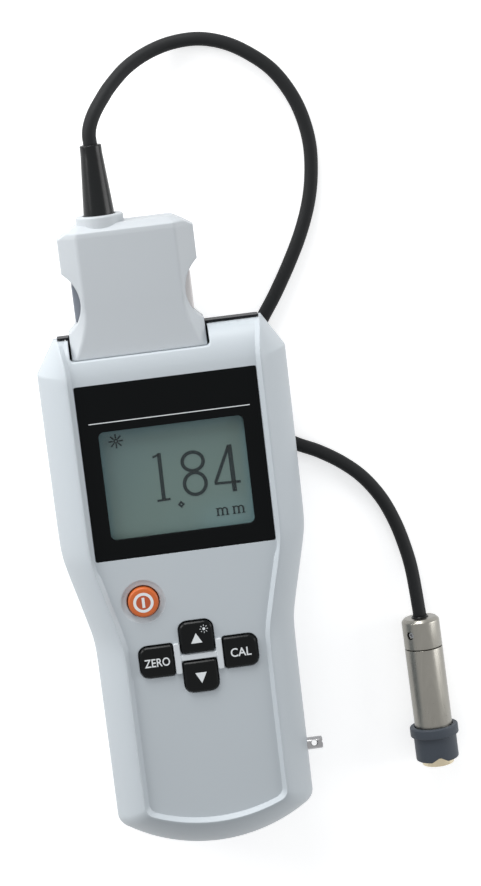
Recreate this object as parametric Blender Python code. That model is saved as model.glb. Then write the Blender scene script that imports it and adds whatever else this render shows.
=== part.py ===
"""Handheld coating thickness gauge with a plug-in probe, lying on its back.

Metres, +Z up. X points to the right of the display and Y towards the probe plug. The origin
lies on the table, under the middle of the case.
"""

from math import atan2, cos, pi, radians, sin, sqrt

import bpy
import bmesh
import numpy as np
from mathutils import Matrix, Vector

# Running gap between neighbouring pieces
GAP = 0.0003

# Case outline, seen from above
CASE_LENGTH = 0.156
HEAD_WIDTH = 0.072
GRIP_WIDTH = 0.0586
CHAMFER_WIDTH = 0.0059
CHAMFER_LENGTH = 0.0095
WAIST_HIGH_Y = 0.0145
WAIST_LOW_Y = -0.012
WAIST_SOFTNESS = 0.12
BOTTOM_RADIUS = 0.048
CORNER_RADIUS = 0.0045

# Case heights
SEAM_Z = 0.015
SIDE_LAND = 0.001
HEAD_LIFT = 0.0065
RAMP_LOW_Y = 0.027
RAMP_HIGH_Y = 0.034
WALL = 0.0022

# Rim round the face
RIM_SHOULDER = 0.0083
RIM_BOTTOM = 0.0106
RIM_BEVEL = 0.0013
RIM_TOP = 0.0011
FACE_RECESS = 0.0014
INNER_CORNER = 0.0032
SHOULDER_FULLNESS = 1.3
ROLL_LENGTH = 0.0115
ROLL_DROP = 0.0086
ROLL_ROWS = 5

# Back of the rear shell
BACK_TAPER = 0.0058
EDGE_ROUND = 0.0022

# Display
LABEL_SIDE = 0.0017
LABEL_LOW_Y = 0.0144
LABEL_HIGH_Y = 0.0654
LABEL_THICK = 0.0009
WINDOW_SIDE = 0.0052
WINDOW_HEIGHT = 0.0317
WINDOW_Y = 0.03595
WINDOW_CORNER = 0.0016
LENS_MARGIN = 0.0009
LENS_THICK = 0.0009
PANEL_MARGIN = 0.0022
PANEL_THICK = 0.0016
LCD_FRAME_RIM = 0.0013

# Keys
KEY_WIDTH = 0.0097
KEY_HEIGHT = 0.0092
KEY_ROUND = 0.0024
KEY_SMALL_ROUND = 0.0006
KEY_PROUD = 0.0011
KEY_SLOPE = 0.0006
KEY_TRAVEL = 0.0005
KEY_FLANGE = 0.0005
KEY_FLANGE_THICK = 0.0010
KEY_CENTRE_Y = -0.01705
KEY_SIDE_X = 0.01225
KEY_STEP_Y = 0.00595
WEB_PROUD = 0.0007
WEB_WIDTH = 0.0018
WEB_BRIDGE = 0.0017
POWER_X = -0.0140
POWER_Y = 0.0011
POWER_RADIUS = 0.00440
POWER_GAP = 0.00035
POWER_RING = 0.0017
POWER_DISH = 0.0005
MAT_THICK = 0.0009

# Circuit board and its screws
BOARD_THICK = 0.0016
BOARD_CLEARANCE = 0.0016
BOARD_DROP = 0.0060
BOARD_MARGIN = 0.0114
BOARD_HIGH_Y = 0.0612
BOARD_LOW_Y = -0.0560
BOARD_POST_RADIUS = 0.0019
BOARD_SCREW_RADIUS = 0.0008
BOARD_SCREW_HEAD = 0.0017
BOARD_SCREW_INSET = 0.0050
BOARD_SCREW_ROWS = (0.0584, -0.0340)

# Case screws
CASE_POST_RADIUS = 0.0027
CASE_SCREW_RADIUS = 0.0012
CASE_SCREW_HEAD = 0.0024
CASE_SCREW_HEAD_THICK = 0.0018
CASE_SCREW_SEAT_Z = 0.0086
CASE_SCREW_LENGTH = 0.0125
CASE_SCREW_INSET = 0.0100
CASE_SCREW_ROWS = (0.0590, -0.0065)

# Batteries and their cover
CELL_RADIUS = 0.00725
CELL_LENGTH = 0.0493
CELL_NUB_LENGTH = 0.0012
CELL_NUB_RADIUS = 0.0028
CELL_CENTRE_Y = -0.0390
CELL_SPRING_ROOM = 0.0032
BAY_WALL = 0.0012
COVER_THICK = 0.0022
COVER_RIM = 0.00205
COVER_DOVETAIL = 0.0012
COVER_GROOVES = 5
COVER_GROOVE_PITCH = 0.0024
COVER_GROOVE_DEPTH = 0.0005
COVER_GROOVE_WIDTH = 0.0011

# Probe plug
PLUG_X = -0.0060
PLUG_HALF = 0.0194
PLUG_FACE_INSET = 0.00535
PLUG_FOOT_INSET = 0.0010
PLUG_FLARE_LENGTH = 0.0134
PLUG_FRONT_DROP = 0.0040
PLUG_SIDE_SLOPE = 0.93
PLUG_LOW_Y = 0.0726
PLUG_TOP_Y = 0.1100
PLUG_TOP_INSET = 0.0054
PLUG_TOP_CHAMFER = 0.0032
PLUG_TOP_BEVEL = 0.0024
PLUG_TOP_DROP = 0.0038
PLUG_WALL = 0.0018
PLUG_END_WALL = 0.0020
SCALLOP_Y = 0.0885
SCALLOP_CHORD = 0.0170
SCALLOP_DEPTH = 0.0044
LINER = 0.0009
NOTCH_CORNER = 0.0010
COLLAR_RADIUS = 0.0068
COLLAR_LENGTH = 0.0024
CABLE_SIDE = 0.0010
TAB_FACE_INSET = 0.0024
TAB_LENGTH = 0.0112
TAB_HEIGHT = 0.0080
TAB_TRAVEL = 0.0008
TAB_FLANGE = 0.0012
TAB_LIP = 0.0014

# Plug connection
BLOCK_SIDE = 0.0014
BLOCK_HALF_HEIGHT = 0.0040
BLOCK_SHOULDER = 0.0022
BLOCK_NOSE = 0.0080
SOCKET_WALL = 0.0023
SOCKET_DEPTH = 0.0067
PIN_COLUMNS = 6
PIN_PITCH = 0.0026
PIN_ROW_HEIGHT = 0.0017
PIN_SIZE = 0.0006
PIN_LENGTH = 0.0040

# Strain relief and cord
BOOT_LENGTH = 0.0192
BOOT_BASE_RADIUS = 0.00445
BOOT_TIP_RADIUS = 0.0031
BOOT_FLANGE_RADIUS = 0.0056
BOOT_FLANGE = 0.0016
CORD_RADIUS = 0.0020

# Strap post
STRAP_RADIUS = 0.00185
STRAP_Y = -0.0523
STRAP_OUT = 0.0046
STRAP_FLANGE_RADIUS = 0.0029
STRAP_FLANGE_THICK = 0.0011
STRAP_HOLE_RADIUS = 0.00085

# Probe, measured along its axis from the tail
PROBE_X = 0.0680
PROBE_TAIL_Y = -0.0206
PROBE_TURN = radians(1.0)
TUBE_RADIUS = 0.0057
TUBE_BORE = 0.0045
TAIL_LENGTH = 0.0090
TAIL_CHAMFER = 0.0009
TAIL_SPIGOT = 0.0030
TUBE_END = 0.0409
SET_SCREW_AT = 0.0045
SET_SCREW_RADIUS = 0.0009
SET_SCREW_LENGTH = 0.0022
SET_SCREW_TURN = radians(46.0)
SLEEVE_START = 0.0335
SLEEVE_RADIUS = 0.00645
SLEEVE_FLANGE_LENGTH = 0.0030
SLEEVE_FLANGE_RADIUS = 0.0073
SLEEVE_FRONT = 0.0017
SLEEVE_END = 0.0440
SLEEVE_NOTCH_HALF = 0.0026
SLEEVE_NOTCH_DEPTH = 0.0015
TIP_RADIUS = 0.00485
TIP_THICK = 0.0026
TIP_PROUD = 0.0016
TIP_TRAVEL = 0.0012
STEM_RADIUS = 0.0026
STEM_LENGTH = 0.0110
COLLAR_THICK = 0.0015
BUSH_LENGTH = 0.0050
POLE_RADIUS = 0.00315
POLE_DIMPLE_RADIUS = 0.0010
SPRING_WIRE = 0.00035
SPRING_TURNS = 6

# Route of the cord's middle line, chosen by hand: over the plug end, once round on the table,
# under the raised head and out again to the probe
CORD_ROUTE = (
    (-0.0119, 0.1378, 0.0177),
    (-0.0103, 0.1409, 0.0166), (-0.0079, 0.1441, 0.0145), (-0.0048, 0.1476, 0.0116),
    (0.0004, 0.1520, 0.0080), (0.0068, 0.1553, 0.0049), (0.0142, 0.1573, 0.0028),
    (0.0222, 0.1575, 0.0021), (0.0297, 0.1554, 0.0020), (0.0363, 0.1515, 0.0020),
    (0.0421, 0.1464, 0.0020), (0.0465, 0.1397, 0.0020), (0.0493, 0.1325, 0.0020),
    (0.0507, 0.1240, 0.0020), (0.0502, 0.1150, 0.0020), (0.0484, 0.1067, 0.0020),
    (0.0451, 0.0981, 0.0020), (0.0408, 0.0898, 0.0020), (0.0358, 0.0814, 0.0020),
    (0.0312, 0.0746, 0.0020), (0.0274, 0.0682, 0.0020), (0.0250, 0.0608, 0.0020),
    (0.0247, 0.0530, 0.0020), (0.0268, 0.0459, 0.0020), (0.0312, 0.0403, 0.0020),
    (0.0368, 0.0364, 0.0020), (0.0435, 0.0331, 0.0020), (0.0502, 0.0287, 0.0020),
    (0.0559, 0.0234, 0.0020), (0.0607, 0.0164, 0.0020), (0.0640, 0.0086, 0.0021),
    (0.0661, 0.0008, 0.0026), (0.0673, -0.0066, 0.0037),
)
CORD_STEP = 0.0046

# Levels and places that follow from the sizes above
TOP_WIDTH = HEAD_WIDTH - 2 * CHAMFER_WIDTH
TOP_Y = CASE_LENGTH / 2
BOTTOM_Y = -CASE_LENGTH / 2
BAY_HALF = 2 * CELL_RADIUS + 1.5 * GAP
BAY_HIGH_Y = CELL_CENTRE_Y + CELL_LENGTH / 2 + CELL_NUB_LENGTH + 4 * GAP
BAY_LOW_Y = CELL_CENTRE_Y - CELL_LENGTH / 2 - CELL_SPRING_ROOM
CELL_Z = COVER_THICK + 2 * GAP + CELL_RADIUS
BAY_TOP = CELL_Z + CELL_RADIUS + GAP
COVER_HALF = BAY_HALF + COVER_RIM
COVER_HIGH_Y = BAY_HIGH_Y + BAY_WALL
BOARD_Z = BAY_TOP + BAY_WALL + BOARD_CLEARANCE
BOARD_TOP = BOARD_Z + BOARD_THICK
CEILING_Z = BOARD_Z + BOARD_DROP
FACE_Z = CEILING_Z + WALL
CASE_DEPTH = FACE_Z + FACE_RECESS
CASE_POST_TOP = CEILING_Z + WALL / 2
ROLL_Y = TOP_Y - ROLL_LENGTH
REAR_Z = SEAM_Z - GAP
PLUG_FRONT_Z = CASE_DEPTH - PLUG_FRONT_DROP
CABLE_Z = 0.5 * (PLUG_FRONT_Z + HEAD_LIFT + WALL + LINER + 2 * GAP)
PLUG_DEPTH = PLUG_FRONT_Z - CABLE_Z
WELL_HALF = PLUG_HALF + GAP
NOTCH_HALF = WELL_HALF + LINER + GAP
WELL_Y = PLUG_LOW_Y - GAP - LINER
LINER_TOP = FACE_Z - ROLL_DROP + GAP
LABEL_WIDTH = HEAD_WIDTH - 2 * (RIM_SHOULDER + LABEL_SIDE)
LABEL_Y = 0.5 * (LABEL_LOW_Y + LABEL_HIGH_Y)
WINDOW_WIDTH = LABEL_WIDTH - 2 * WINDOW_SIDE
LABEL_FLOOR = FACE_Z - LABEL_THICK - GAP / 2
LENS_TOP = LABEL_FLOOR - GAP / 2
LCD_TOP = LENS_TOP - LENS_THICK - GAP
KEY_FLANGE_TOP = CEILING_Z - GAP
KEY_BASE = KEY_FLANGE_TOP - KEY_FLANGE_THICK
COLLAR_TOP = PLUG_TOP_Y + COLLAR_LENGTH
CAVITY_TOP_Y = PLUG_TOP_Y - PLUG_END_WALL - PLUG_TOP_BEVEL
CAVITY_LOW_Y = PLUG_LOW_Y + PLUG_END_WALL
CAVITY_DEPTH = PLUG_DEPTH - PLUG_WALL
CAVITY_HALF = PLUG_HALF - SCALLOP_DEPTH - PLUG_WALL
BLOCK_HALF = CAVITY_HALF - BLOCK_SHOULDER - BLOCK_SIDE
CABLE_X = PLUG_X - (CAVITY_HALF - BOOT_FLANGE_RADIUS - CABLE_SIDE)
KEYS = {
    "up_key": (0.0, KEY_CENTRE_Y + KEY_STEP_Y, (1, 1, 0, 0)),
    "down_key": (0.0, KEY_CENTRE_Y - KEY_STEP_Y, (0, 0, 1, 1)),
    "zero_key": (-KEY_SIDE_X, KEY_CENTRE_Y, (0, 1, 1, 0)),
    "cal_key": (KEY_SIDE_X, KEY_CENTRE_Y, (1, 0, 0, 1)),
}


# Materials

def material(name, colour, roughness, metallic=0.0):
    surface = bpy.data.materials.new(name)
    surface.use_nodes = True
    shader = surface.node_tree.nodes["Principled BSDF"]
    shader.inputs["Base Color"].default_value = (*colour, 1.0)
    shader.inputs["Roughness"].default_value = roughness
    shader.inputs["Metallic"].default_value = metallic
    surface.diffuse_color = (*colour, 1.0)
    return surface


def all_materials():
    return {
        "shell": material("light_grey_plastic", (0.52, 0.55, 0.58), 0.45),
        "black": material("black_plastic", (0.012, 0.013, 0.014), 0.35),
        "label": material("black_label", (0.008, 0.009, 0.011), 0.3),
        "lens": material("clear_lens", (0.8, 0.85, 0.85), 0.05),
        "lcd": material("display_glass", (0.16, 0.24, 0.24), 0.3),
        "orange": material("orange_key", (0.62, 0.16, 0.04), 0.4),
        "rubber": material("black_rubber", (0.02, 0.02, 0.022), 0.6),
        "board": material("circuit_board", (0.02, 0.12, 0.05), 0.5),
        "steel": material("bright_steel", (0.62, 0.62, 0.63), 0.25, 1.0),
        "nickel": material("satin_nickel", (0.48, 0.47, 0.44), 0.35, 1.0),
        "brass": material("pale_brass", (0.70, 0.62, 0.42), 0.25, 1.0),
        "cell": material("battery_jacket", (0.10, 0.13, 0.20), 0.35),
        "cord": material("cord_jacket", (0.025, 0.025, 0.027), 0.55),
    }


# Mesh helpers

def solid(name, points, faces, surface=None, origin=(0, 0, 0), smooth=35):
    """One object from points in part coordinates, with its origin where asked."""
    mesh = bpy.data.meshes.new(name)
    centre = np.array(origin, float)
    mesh.from_pydata((np.asarray(points, float) - centre).tolist(), [], faces)
    shape = bmesh.new()
    shape.from_mesh(mesh)
    bmesh.ops.recalc_face_normals(shape, faces=shape.faces)
    shape.to_mesh(mesh)
    shape.free()
    if smooth:
        mesh.shade_smooth()
        mesh.set_sharp_from_angle(angle=radians(smooth))
    thing = bpy.data.objects.new(name, mesh)
    thing.location = centre
    bpy.context.scene.collection.objects.link(thing)
    if surface:
        mesh.materials.append(surface)
    return thing


def skin(rings, closed=False):
    """Quads between each ring and the next; ends filled unless the rings come round again."""
    rings = [np.asarray(ring, float) for ring in rings]
    count = len(rings[0])
    points = np.concatenate(rings)
    faces = []
    for row in range(len(rings) if closed else len(rings) - 1):
        a = row * count
        b = ((row + 1) % len(rings)) * count
        for k in range(count):
            n = (k + 1) % count
            faces.append((a + k, a + n, b + n, b + k))
    if not closed:
        faces.append(tuple(range(count))[::-1])
        faces.append(tuple(range((len(rings) - 1) * count, len(rings) * count)))
    return points, faces


def loft(name, rings, surface=None, closed=False, **more):
    points, faces = skin(rings, closed)
    return solid(name, points, faces, surface, **more)


def box(name, low, high, surface=None, **more):
    (x0, y0, z0), (x1, y1, z1) = low, high
    ring = [(x0, y0), (x1, y0), (x1, y1), (x0, y1)]
    return loft(name, [[(*p, z) for p in ring] for z in (z0, z1)], surface, **more)


def prism(name, outline_xy, levels, surface=None, **more):
    """An outline in plan carried up through the levels given."""
    return loft(name, [[(x, y, z) for x, y in outline_xy] for z in levels], surface, **more)


def turned(name, profile, start, direction, surface=None, sides=32, closed=False, **more):
    """A profile of (distance, radius) pairs revolved round a line through start."""
    turn = Vector((0, 0, 1)).rotation_difference(Vector(direction)).to_matrix()
    angles = np.linspace(0, 2 * pi, sides, endpoint=False) + pi / sides
    rings = []
    for along, radius in profile:
        ring = [Vector(start) + turn @ Vector((radius * cos(a), radius * sin(a), along)) for a in angles]
        rings.append(ring)
    return loft(name, rings, surface, closed, **more)


def rounded_rectangle(x, y, width, height, radii, steps=3):
    """Corner order: upper right, upper left, lower left, lower right."""
    corners = ((1, 1, 0), (-1, 1, 1), (-1, -1, 2), (1, -1, 3))
    points = []
    for (sx, sy, quarter), radius in zip(corners, radii):
        cx = x + sx * (width / 2 - radius)
        cy = y + sy * (height / 2 - radius)
        for a in np.linspace(quarter * pi / 2, (quarter + 1) * pi / 2, steps + 1):
            points.append((cx + radius * cos(a), cy + radius * sin(a)))
    return points


def boolean(target, operation, tools):
    """A Boolean with each tool, which stays in the file as a hidden guide."""
    for tool in tools:
        step = target.modifiers.new(operation.lower() + "_" + tool.name, "BOOLEAN")
        step.operation = operation
        step.object = tool
        tool.hide_render = True
        tool.display_type = "WIRE"


def cut(target, *tools):
    boolean(target, "DIFFERENCE", tools)


def join(target, *tools):
    boolean(target, "UNION", tools)


def several(name, parts):
    """One guide object from the meshes of several separate ones."""
    shape = bmesh.new()
    for part in parts:
        part.data.transform(Matrix.Translation(part.location))
        shape.from_mesh(part.data)
        bpy.data.objects.remove(part)
    mesh = bpy.data.meshes.new(name)
    shape.to_mesh(mesh)
    shape.free()
    thing = bpy.data.objects.new(name, mesh)
    bpy.context.scene.collection.objects.link(thing)
    return thing


# Outlines and heights of the case

def soft_step(t, softness):
    """0 below the step, 1 above it, with both bends rounded."""
    return 0.5 * (np.sqrt(t * t + softness ** 2) - np.sqrt((1 - t) ** 2 + softness ** 2) + 1)


def body_half(y, head, grip):
    """Half width of the body at y, from the grip's to the head's."""
    t = (np.asarray(y) - WAIST_LOW_Y) / (WAIST_HIGH_Y - WAIST_LOW_Y)
    return grip + (head - grip) * soft_step(t, WAIST_SOFTNESS)


def screw_places(rows, inset):
    """Pairs of screws at the rows given, set in from the body's sides."""
    places = []
    for y in rows:
        x = float(body_half(y, HEAD_WIDTH / 2, GRIP_WIDTH / 2)) - inset
        places += [(-x, y), (x, y)]
    return places


def case_places():
    return screw_places(CASE_SCREW_ROWS, CASE_SCREW_INSET)


def board_places():
    return screw_places(BOARD_SCREW_ROWS, BOARD_MARGIN + BOARD_SCREW_INSET)


def side_rows():
    """Heights along Y, from the top edge down, that every ring of the shells shares."""
    roll = ROLL_Y + ROLL_LENGTH * np.sin(np.linspace(pi / 2, 0, ROLL_ROWS + 1))
    bend = (WAIST_HIGH_Y - WAIST_LOW_Y) * WAIST_SOFTNESS * 1.5
    bends = [edge + bend * k for edge in (WAIST_HIGH_Y, WAIST_LOW_Y) for k in (-1, 0, 1)]
    ramp = [RAMP_LOW_Y + (RAMP_HIGH_Y - RAMP_LOW_Y) * k for k in (-0.2, 0, 0.5, 1, 1.2)]
    rest = [TOP_Y - CHAMFER_LENGTH, 0.7 * TOP_Y, 0.38 * BOTTOM_Y, 0.66 * BOTTOM_Y]
    return np.array(sorted([*roll, *bends, *ramp, *rest], reverse=True))


def widest(y):
    chamfer = TOP_WIDTH / 2 + (TOP_Y - y) * (HEAD_WIDTH - TOP_WIDTH) / 2 / CHAMFER_LENGTH
    return np.minimum(body_half(y, HEAD_WIDTH / 2, GRIP_WIDTH / 2), chamfer)


def crest(y):
    """The rim's crest flares out to the top corners."""
    plain = body_half(y, HEAD_WIDTH / 2 - RIM_SHOULDER, GRIP_WIDTH / 2 - RIM_SHOULDER)
    flare = np.clip((y - TOP_Y + CHAMFER_LENGTH) / CHAMFER_LENGTH, 0, 1) ** 1.5
    return plain + flare * (TOP_WIDTH / 2 - RIM_TOP - HEAD_WIDTH / 2 + RIM_SHOULDER)


def outline(share, inset=0.0, end=0.0, past=0.0):
    """Closed plan outline between the widest line (share 0) and the rim's crest (share 1)."""
    rows = side_rows()
    if past:
        rows = np.insert(rows, 0, TOP_Y + past)
    squeeze = np.clip((rows - RAMP_HIGH_Y) / (TOP_Y - RAMP_HIGH_Y), 0, 1)
    y = rows - end * squeeze
    x = (1 - share) * widest(y) + share * crest(y) - inset
    low = BOTTOM_Y + share * RIM_BOTTOM + inset
    corner = (1 - share) * CORNER_RADIUS + share * INNER_CORNER
    radius = BOTTOM_RADIUS
    half = x[-1]
    fillet_y = low + radius - sqrt((radius - corner) ** 2 - (half - corner) ** 2)
    turn = atan2(fillet_y - low - radius, half - corner)
    fillet = np.linspace(0, turn, 5)
    arc = np.linspace(turn, -pi / 2, 7)[1:-1]
    x = np.concatenate([x, half - corner + corner * np.cos(fillet), radius * np.cos(arc)])
    y = np.concatenate([y, fillet_y + corner * np.sin(fillet), low + radius + radius * np.sin(arc)])
    right = np.stack([x, y], 1)
    left = right[::-1] * (-1, 1)
    return np.concatenate([right, left])


def top_roll(count, past=0.0):
    """How far the crest has rolled down at each point of a ring."""
    rows = side_rows()
    if past:
        rows = np.insert(rows, 0, TOP_Y + past)
    t = np.clip((rows - ROLL_Y) / ROLL_LENGTH, 0, 1)
    drop = np.zeros(count // 2)
    drop[:len(t)] = ROLL_DROP * (1 - np.sqrt(1 - t * t))
    return np.concatenate([drop, drop[::-1]])


def front_ring(share, z, inset=0.0, end=0.0, past=0.0):
    plan = outline(share, inset, end, past)
    height = z - top_roll(len(plan), past) * (z - SEAM_Z) / (CASE_DEPTH - SEAM_Z)
    return np.column_stack([plan, height])


def back_height(y):
    """The back is flat under the grip and ramps up to the slimmer head."""
    return HEAD_LIFT * soft_step((y - RAMP_LOW_Y) / (RAMP_HIGH_Y - RAMP_LOW_Y), 0.1)


def rear_ring(inset, share=0.0, above=0.0):
    """A ring part of the way from the back (share 0) to the seam (share 1), or a step above the back."""
    plan = outline(0.0, inset, 0.8 * inset)
    back = back_height(plan[:, 1])
    return np.column_stack([plan, back + above + share * (REAR_Z - back)])


def ladder(first, count, upwards):
    """Fills a ring of the case with quads from its right side to its left."""
    half = count // 2
    faces = []
    for k in range(half - 1):
        quad = (first + k, first + k + 1, first + count - 2 - k, first + count - 1 - k)
        faces.append(quad if upwards else quad[::-1])
    return faces


def case_form(name, rings, surface=None):
    """A closed form from rings of the case, its two ends filled with quads from side to side."""
    count = len(rings[0])
    points = np.concatenate(rings)
    faces = []
    for row in range(len(rings) - 1):
        for k in range(count):
            n = (k + 1) % count
            faces.append((row * count + k, row * count + n, (row + 1) * count + n, (row + 1) * count + k))
    faces += ladder(0, count, True)
    faces += ladder((len(rings) - 1) * count, count, False)
    return solid(name, points, faces, surface, smooth=28)


def hollow_shell(name, outer, inner, surface):
    """A shell from the inside of its closed face, over the rim, to the outside."""
    return case_form(name, outer[::-1] + inner, surface)


def shoulder(angle):
    """Share of the way in to the crest, and of the height, on the rounded shoulder."""
    power = 2 / SHOULDER_FULLNESS
    return 1 - cos(angle) ** power, sin(angle) ** power


# Front shell

def front_rings():
    base = SEAM_Z + SIDE_LAND
    outer = [front_ring(0, SEAM_Z), front_ring(0, base)]
    for degrees in (16, 34, 52, 70, 82):
        share, height = shoulder(radians(degrees))
        outer.append(front_ring(share, base + height * (CASE_DEPTH - base)))
    outer.append(front_ring(1, CASE_DEPTH))
    inner = [front_ring(0, SEAM_Z, WALL, WALL)]
    for degrees in (25, 50, 75):
        share, height = shoulder(radians(degrees))
        z = min(base + height * (CASE_DEPTH - base) - WALL / 2, CEILING_Z)
        inner.append(front_ring(share, z, WALL, WALL))
    return outer, inner


def face_recess():
    """Clears the face between the rails, which run out past the top edge."""
    rings = [front_ring(1, FACE_Z, RIM_BEVEL, past=WALL),
             front_ring(1, CASE_DEPTH + RIM_BEVEL / 2, -0.3 * RIM_BEVEL, past=WALL)]
    return case_form("face_recess", rings)


def key_outline(name, margin=0.0):
    x, y, large = KEYS[name]
    radii = [max((KEY_ROUND if wide else KEY_SMALL_ROUND) + margin, 0.1 * KEY_SMALL_ROUND) for wide in large]
    return rounded_rectangle(x, y, KEY_WIDTH + 2 * margin, KEY_HEIGHT + 2 * margin, radii)


def key_web():
    """The raised web between the keys, an H on its side rails."""
    inner = KEY_WIDTH / 2 + GAP
    outer = KEY_SIDE_X - KEY_WIDTH / 2 - GAP
    rail_middle = 0.5 * (inner + outer)
    levels = (FACE_Z - 0.3 * WALL, FACE_Z + WEB_PROUD)
    parts = []
    for side in (-1, 1):
        rail = rounded_rectangle(side * rail_middle, KEY_CENTRE_Y, WEB_WIDTH, KEY_HEIGHT,
                                 [0.3 * WEB_WIDTH] * 4, 2)
        parts.append(prism(f"web_rail_{side + 1}", rail, levels))
    bridge_half = rail_middle
    bridge_low = (levels[0] - 0.1 * WALL, levels[1] - GAP / 2)
    gap_half = WEB_BRIDGE / 2
    bridge = [(-bridge_half, KEY_CENTRE_Y - gap_half), (bridge_half, KEY_CENTRE_Y - gap_half),
              (bridge_half, KEY_CENTRE_Y + gap_half), (-bridge_half, KEY_CENTRE_Y + gap_half)]
    parts.append(prism("web_bridge", bridge, bridge_low))
    return parts


def screw_posts(tag, places, radius, low, high, hole, depth):
    posts = [turned(f"{tag}_post_{k}", [(low, radius), (high, radius)], (x, y, 0), (0, 0, 1), sides=14)
             for k, (x, y) in enumerate(places)]
    holes = [turned(f"{tag}_hole_{k}", [(low - GAP, hole), (low + depth, hole)], (x, y, 0), (0, 0, 1),
                    sides=8) for k, (x, y) in enumerate(places)]
    return several(f"{tag}_posts", posts), several(f"{tag}_holes", holes)


def well_notch(name, z, top):
    low = (PLUG_X - NOTCH_HALF, WELL_Y - GAP, z)
    high = (PLUG_X + NOTCH_HALF, TOP_Y + WALL, top)
    return box(name, low, high)


def upper_notch():
    """Above the well's lining the notch is only as wide as the plug, with rounded corners."""
    low, high = PLUG_LOW_Y - 2 * GAP, TOP_Y + 2 * NOTCH_CORNER
    plan = rounded_rectangle(PLUG_X, (low + high) / 2, 2 * (WELL_HALF + GAP), high - low, [NOTCH_CORNER] * 4)
    return prism("upper_notch", plan, (LINER_TOP, 2 * CASE_DEPTH))


def strap_bore(name):
    inside = GRIP_WIDTH / 2 - 2 * WALL
    return turned(name, [(inside, STRAP_RADIUS + GAP), (GRIP_WIDTH, STRAP_RADIUS + GAP)],
                  (0, STRAP_Y, SEAM_Z - GAP / 2), (1, 0, 0), sides=20)


def front_shell(look):
    outer, inner = front_rings()
    shell = hollow_shell("front_shell", outer, inner, look["shell"])
    depth = CASE_SCREW_SEAT_Z + CASE_SCREW_LENGTH + GAP - SEAM_Z
    case_posts, case_holes = screw_posts("front_case", case_places(), CASE_POST_RADIUS, SEAM_Z, CASE_POST_TOP,
                                         CASE_SCREW_RADIUS + GAP / 2, depth)
    board_low = BOARD_TOP + GAP
    board_posts, board_holes = screw_posts("board", board_places(), BOARD_POST_RADIUS, board_low,
                                           CEILING_Z + WALL / 2, BOARD_SCREW_RADIUS + GAP / 2,
                                           CEILING_Z - board_low - GAP)
    power = POWER_RADIUS + POWER_GAP
    dish = turned("power_dish", [(FACE_Z - POWER_DISH, power - GAP), (FACE_Z - POWER_DISH, power),
                                 (FACE_Z - 0.7 * POWER_DISH, power + 0.6 * POWER_RING),
                                 (FACE_Z + GAP, power + 1.05 * POWER_RING)],
                  (POWER_X, POWER_Y, 0), (0, 0, 1), sides=32)
    label = rounded_rectangle(0, LABEL_Y, LABEL_WIDTH + GAP, LABEL_HIGH_Y - LABEL_LOW_Y + GAP,
                              [2 * GAP] * 4, 2)
    recess = prism("label_recess", label, (LABEL_FLOOR, CASE_DEPTH + WALL))
    cut(shell, face_recess(), recess, well_notch("front_notch", SEAM_Z - WALL, LINER_TOP + GAP), upper_notch(),
        strap_bore("front_strap_bore"), dish)
    join(shell, case_posts, board_posts, *key_web())
    through = (CEILING_Z - WALL / 2, CASE_DEPTH + WALL)
    holes = [prism(f"hole_{name}", key_outline(name, GAP), through) for name in KEYS]
    holes.append(turned("hole_power", [(z, power) for z in through], (POWER_X, POWER_Y, 0), (0, 0, 1),
                        sides=32))
    lens = rounded_rectangle(0, WINDOW_Y, WINDOW_WIDTH + 2 * (LENS_MARGIN + GAP),
                             WINDOW_HEIGHT + 2 * (LENS_MARGIN + GAP), [WINDOW_CORNER + LENS_MARGIN] * 4)
    holes.append(prism("hole_window", lens, through))
    cut(shell, case_holes, board_holes, several("face_holes", holes))
    return shell


# Rear shell

def rear_outer():
    return [rear_ring(0, 1), rear_ring(0.05 * BACK_TAPER, 0.62),
            rear_ring(0.52 * BACK_TAPER, 0, 1.4 * EDGE_ROUND),
            rear_ring(0.70 * BACK_TAPER, 0, 0.35 * EDGE_ROUND), rear_ring(BACK_TAPER)]


def rear_inner():
    return [rear_ring(WALL, 1), rear_ring(0.55 * BACK_TAPER + WALL, 0, 1.4 * EDGE_ROUND + WALL),
            rear_ring(0.95 * BACK_TAPER + WALL, 0, WALL)]


def cover_section(margin):
    """Dovetail across the cover, wider inside than outside."""
    low, high = COVER_HALF + margin, COVER_HALF + COVER_DOVETAIL + margin
    slope = COVER_DOVETAIL / COVER_THICK
    return [(-low + slope * WALL, -WALL), (low - slope * WALL, -WALL),
            (high + slope * margin, COVER_THICK + margin), (-high - slope * margin, COVER_THICK + margin)]


def cover_bar(name, margin):
    ends = (BOTTOM_Y - WALL, COVER_HIGH_Y + margin)
    return loft(name, [[(x, y, z) for x, z in cover_section(margin)] for y in ends])


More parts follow.
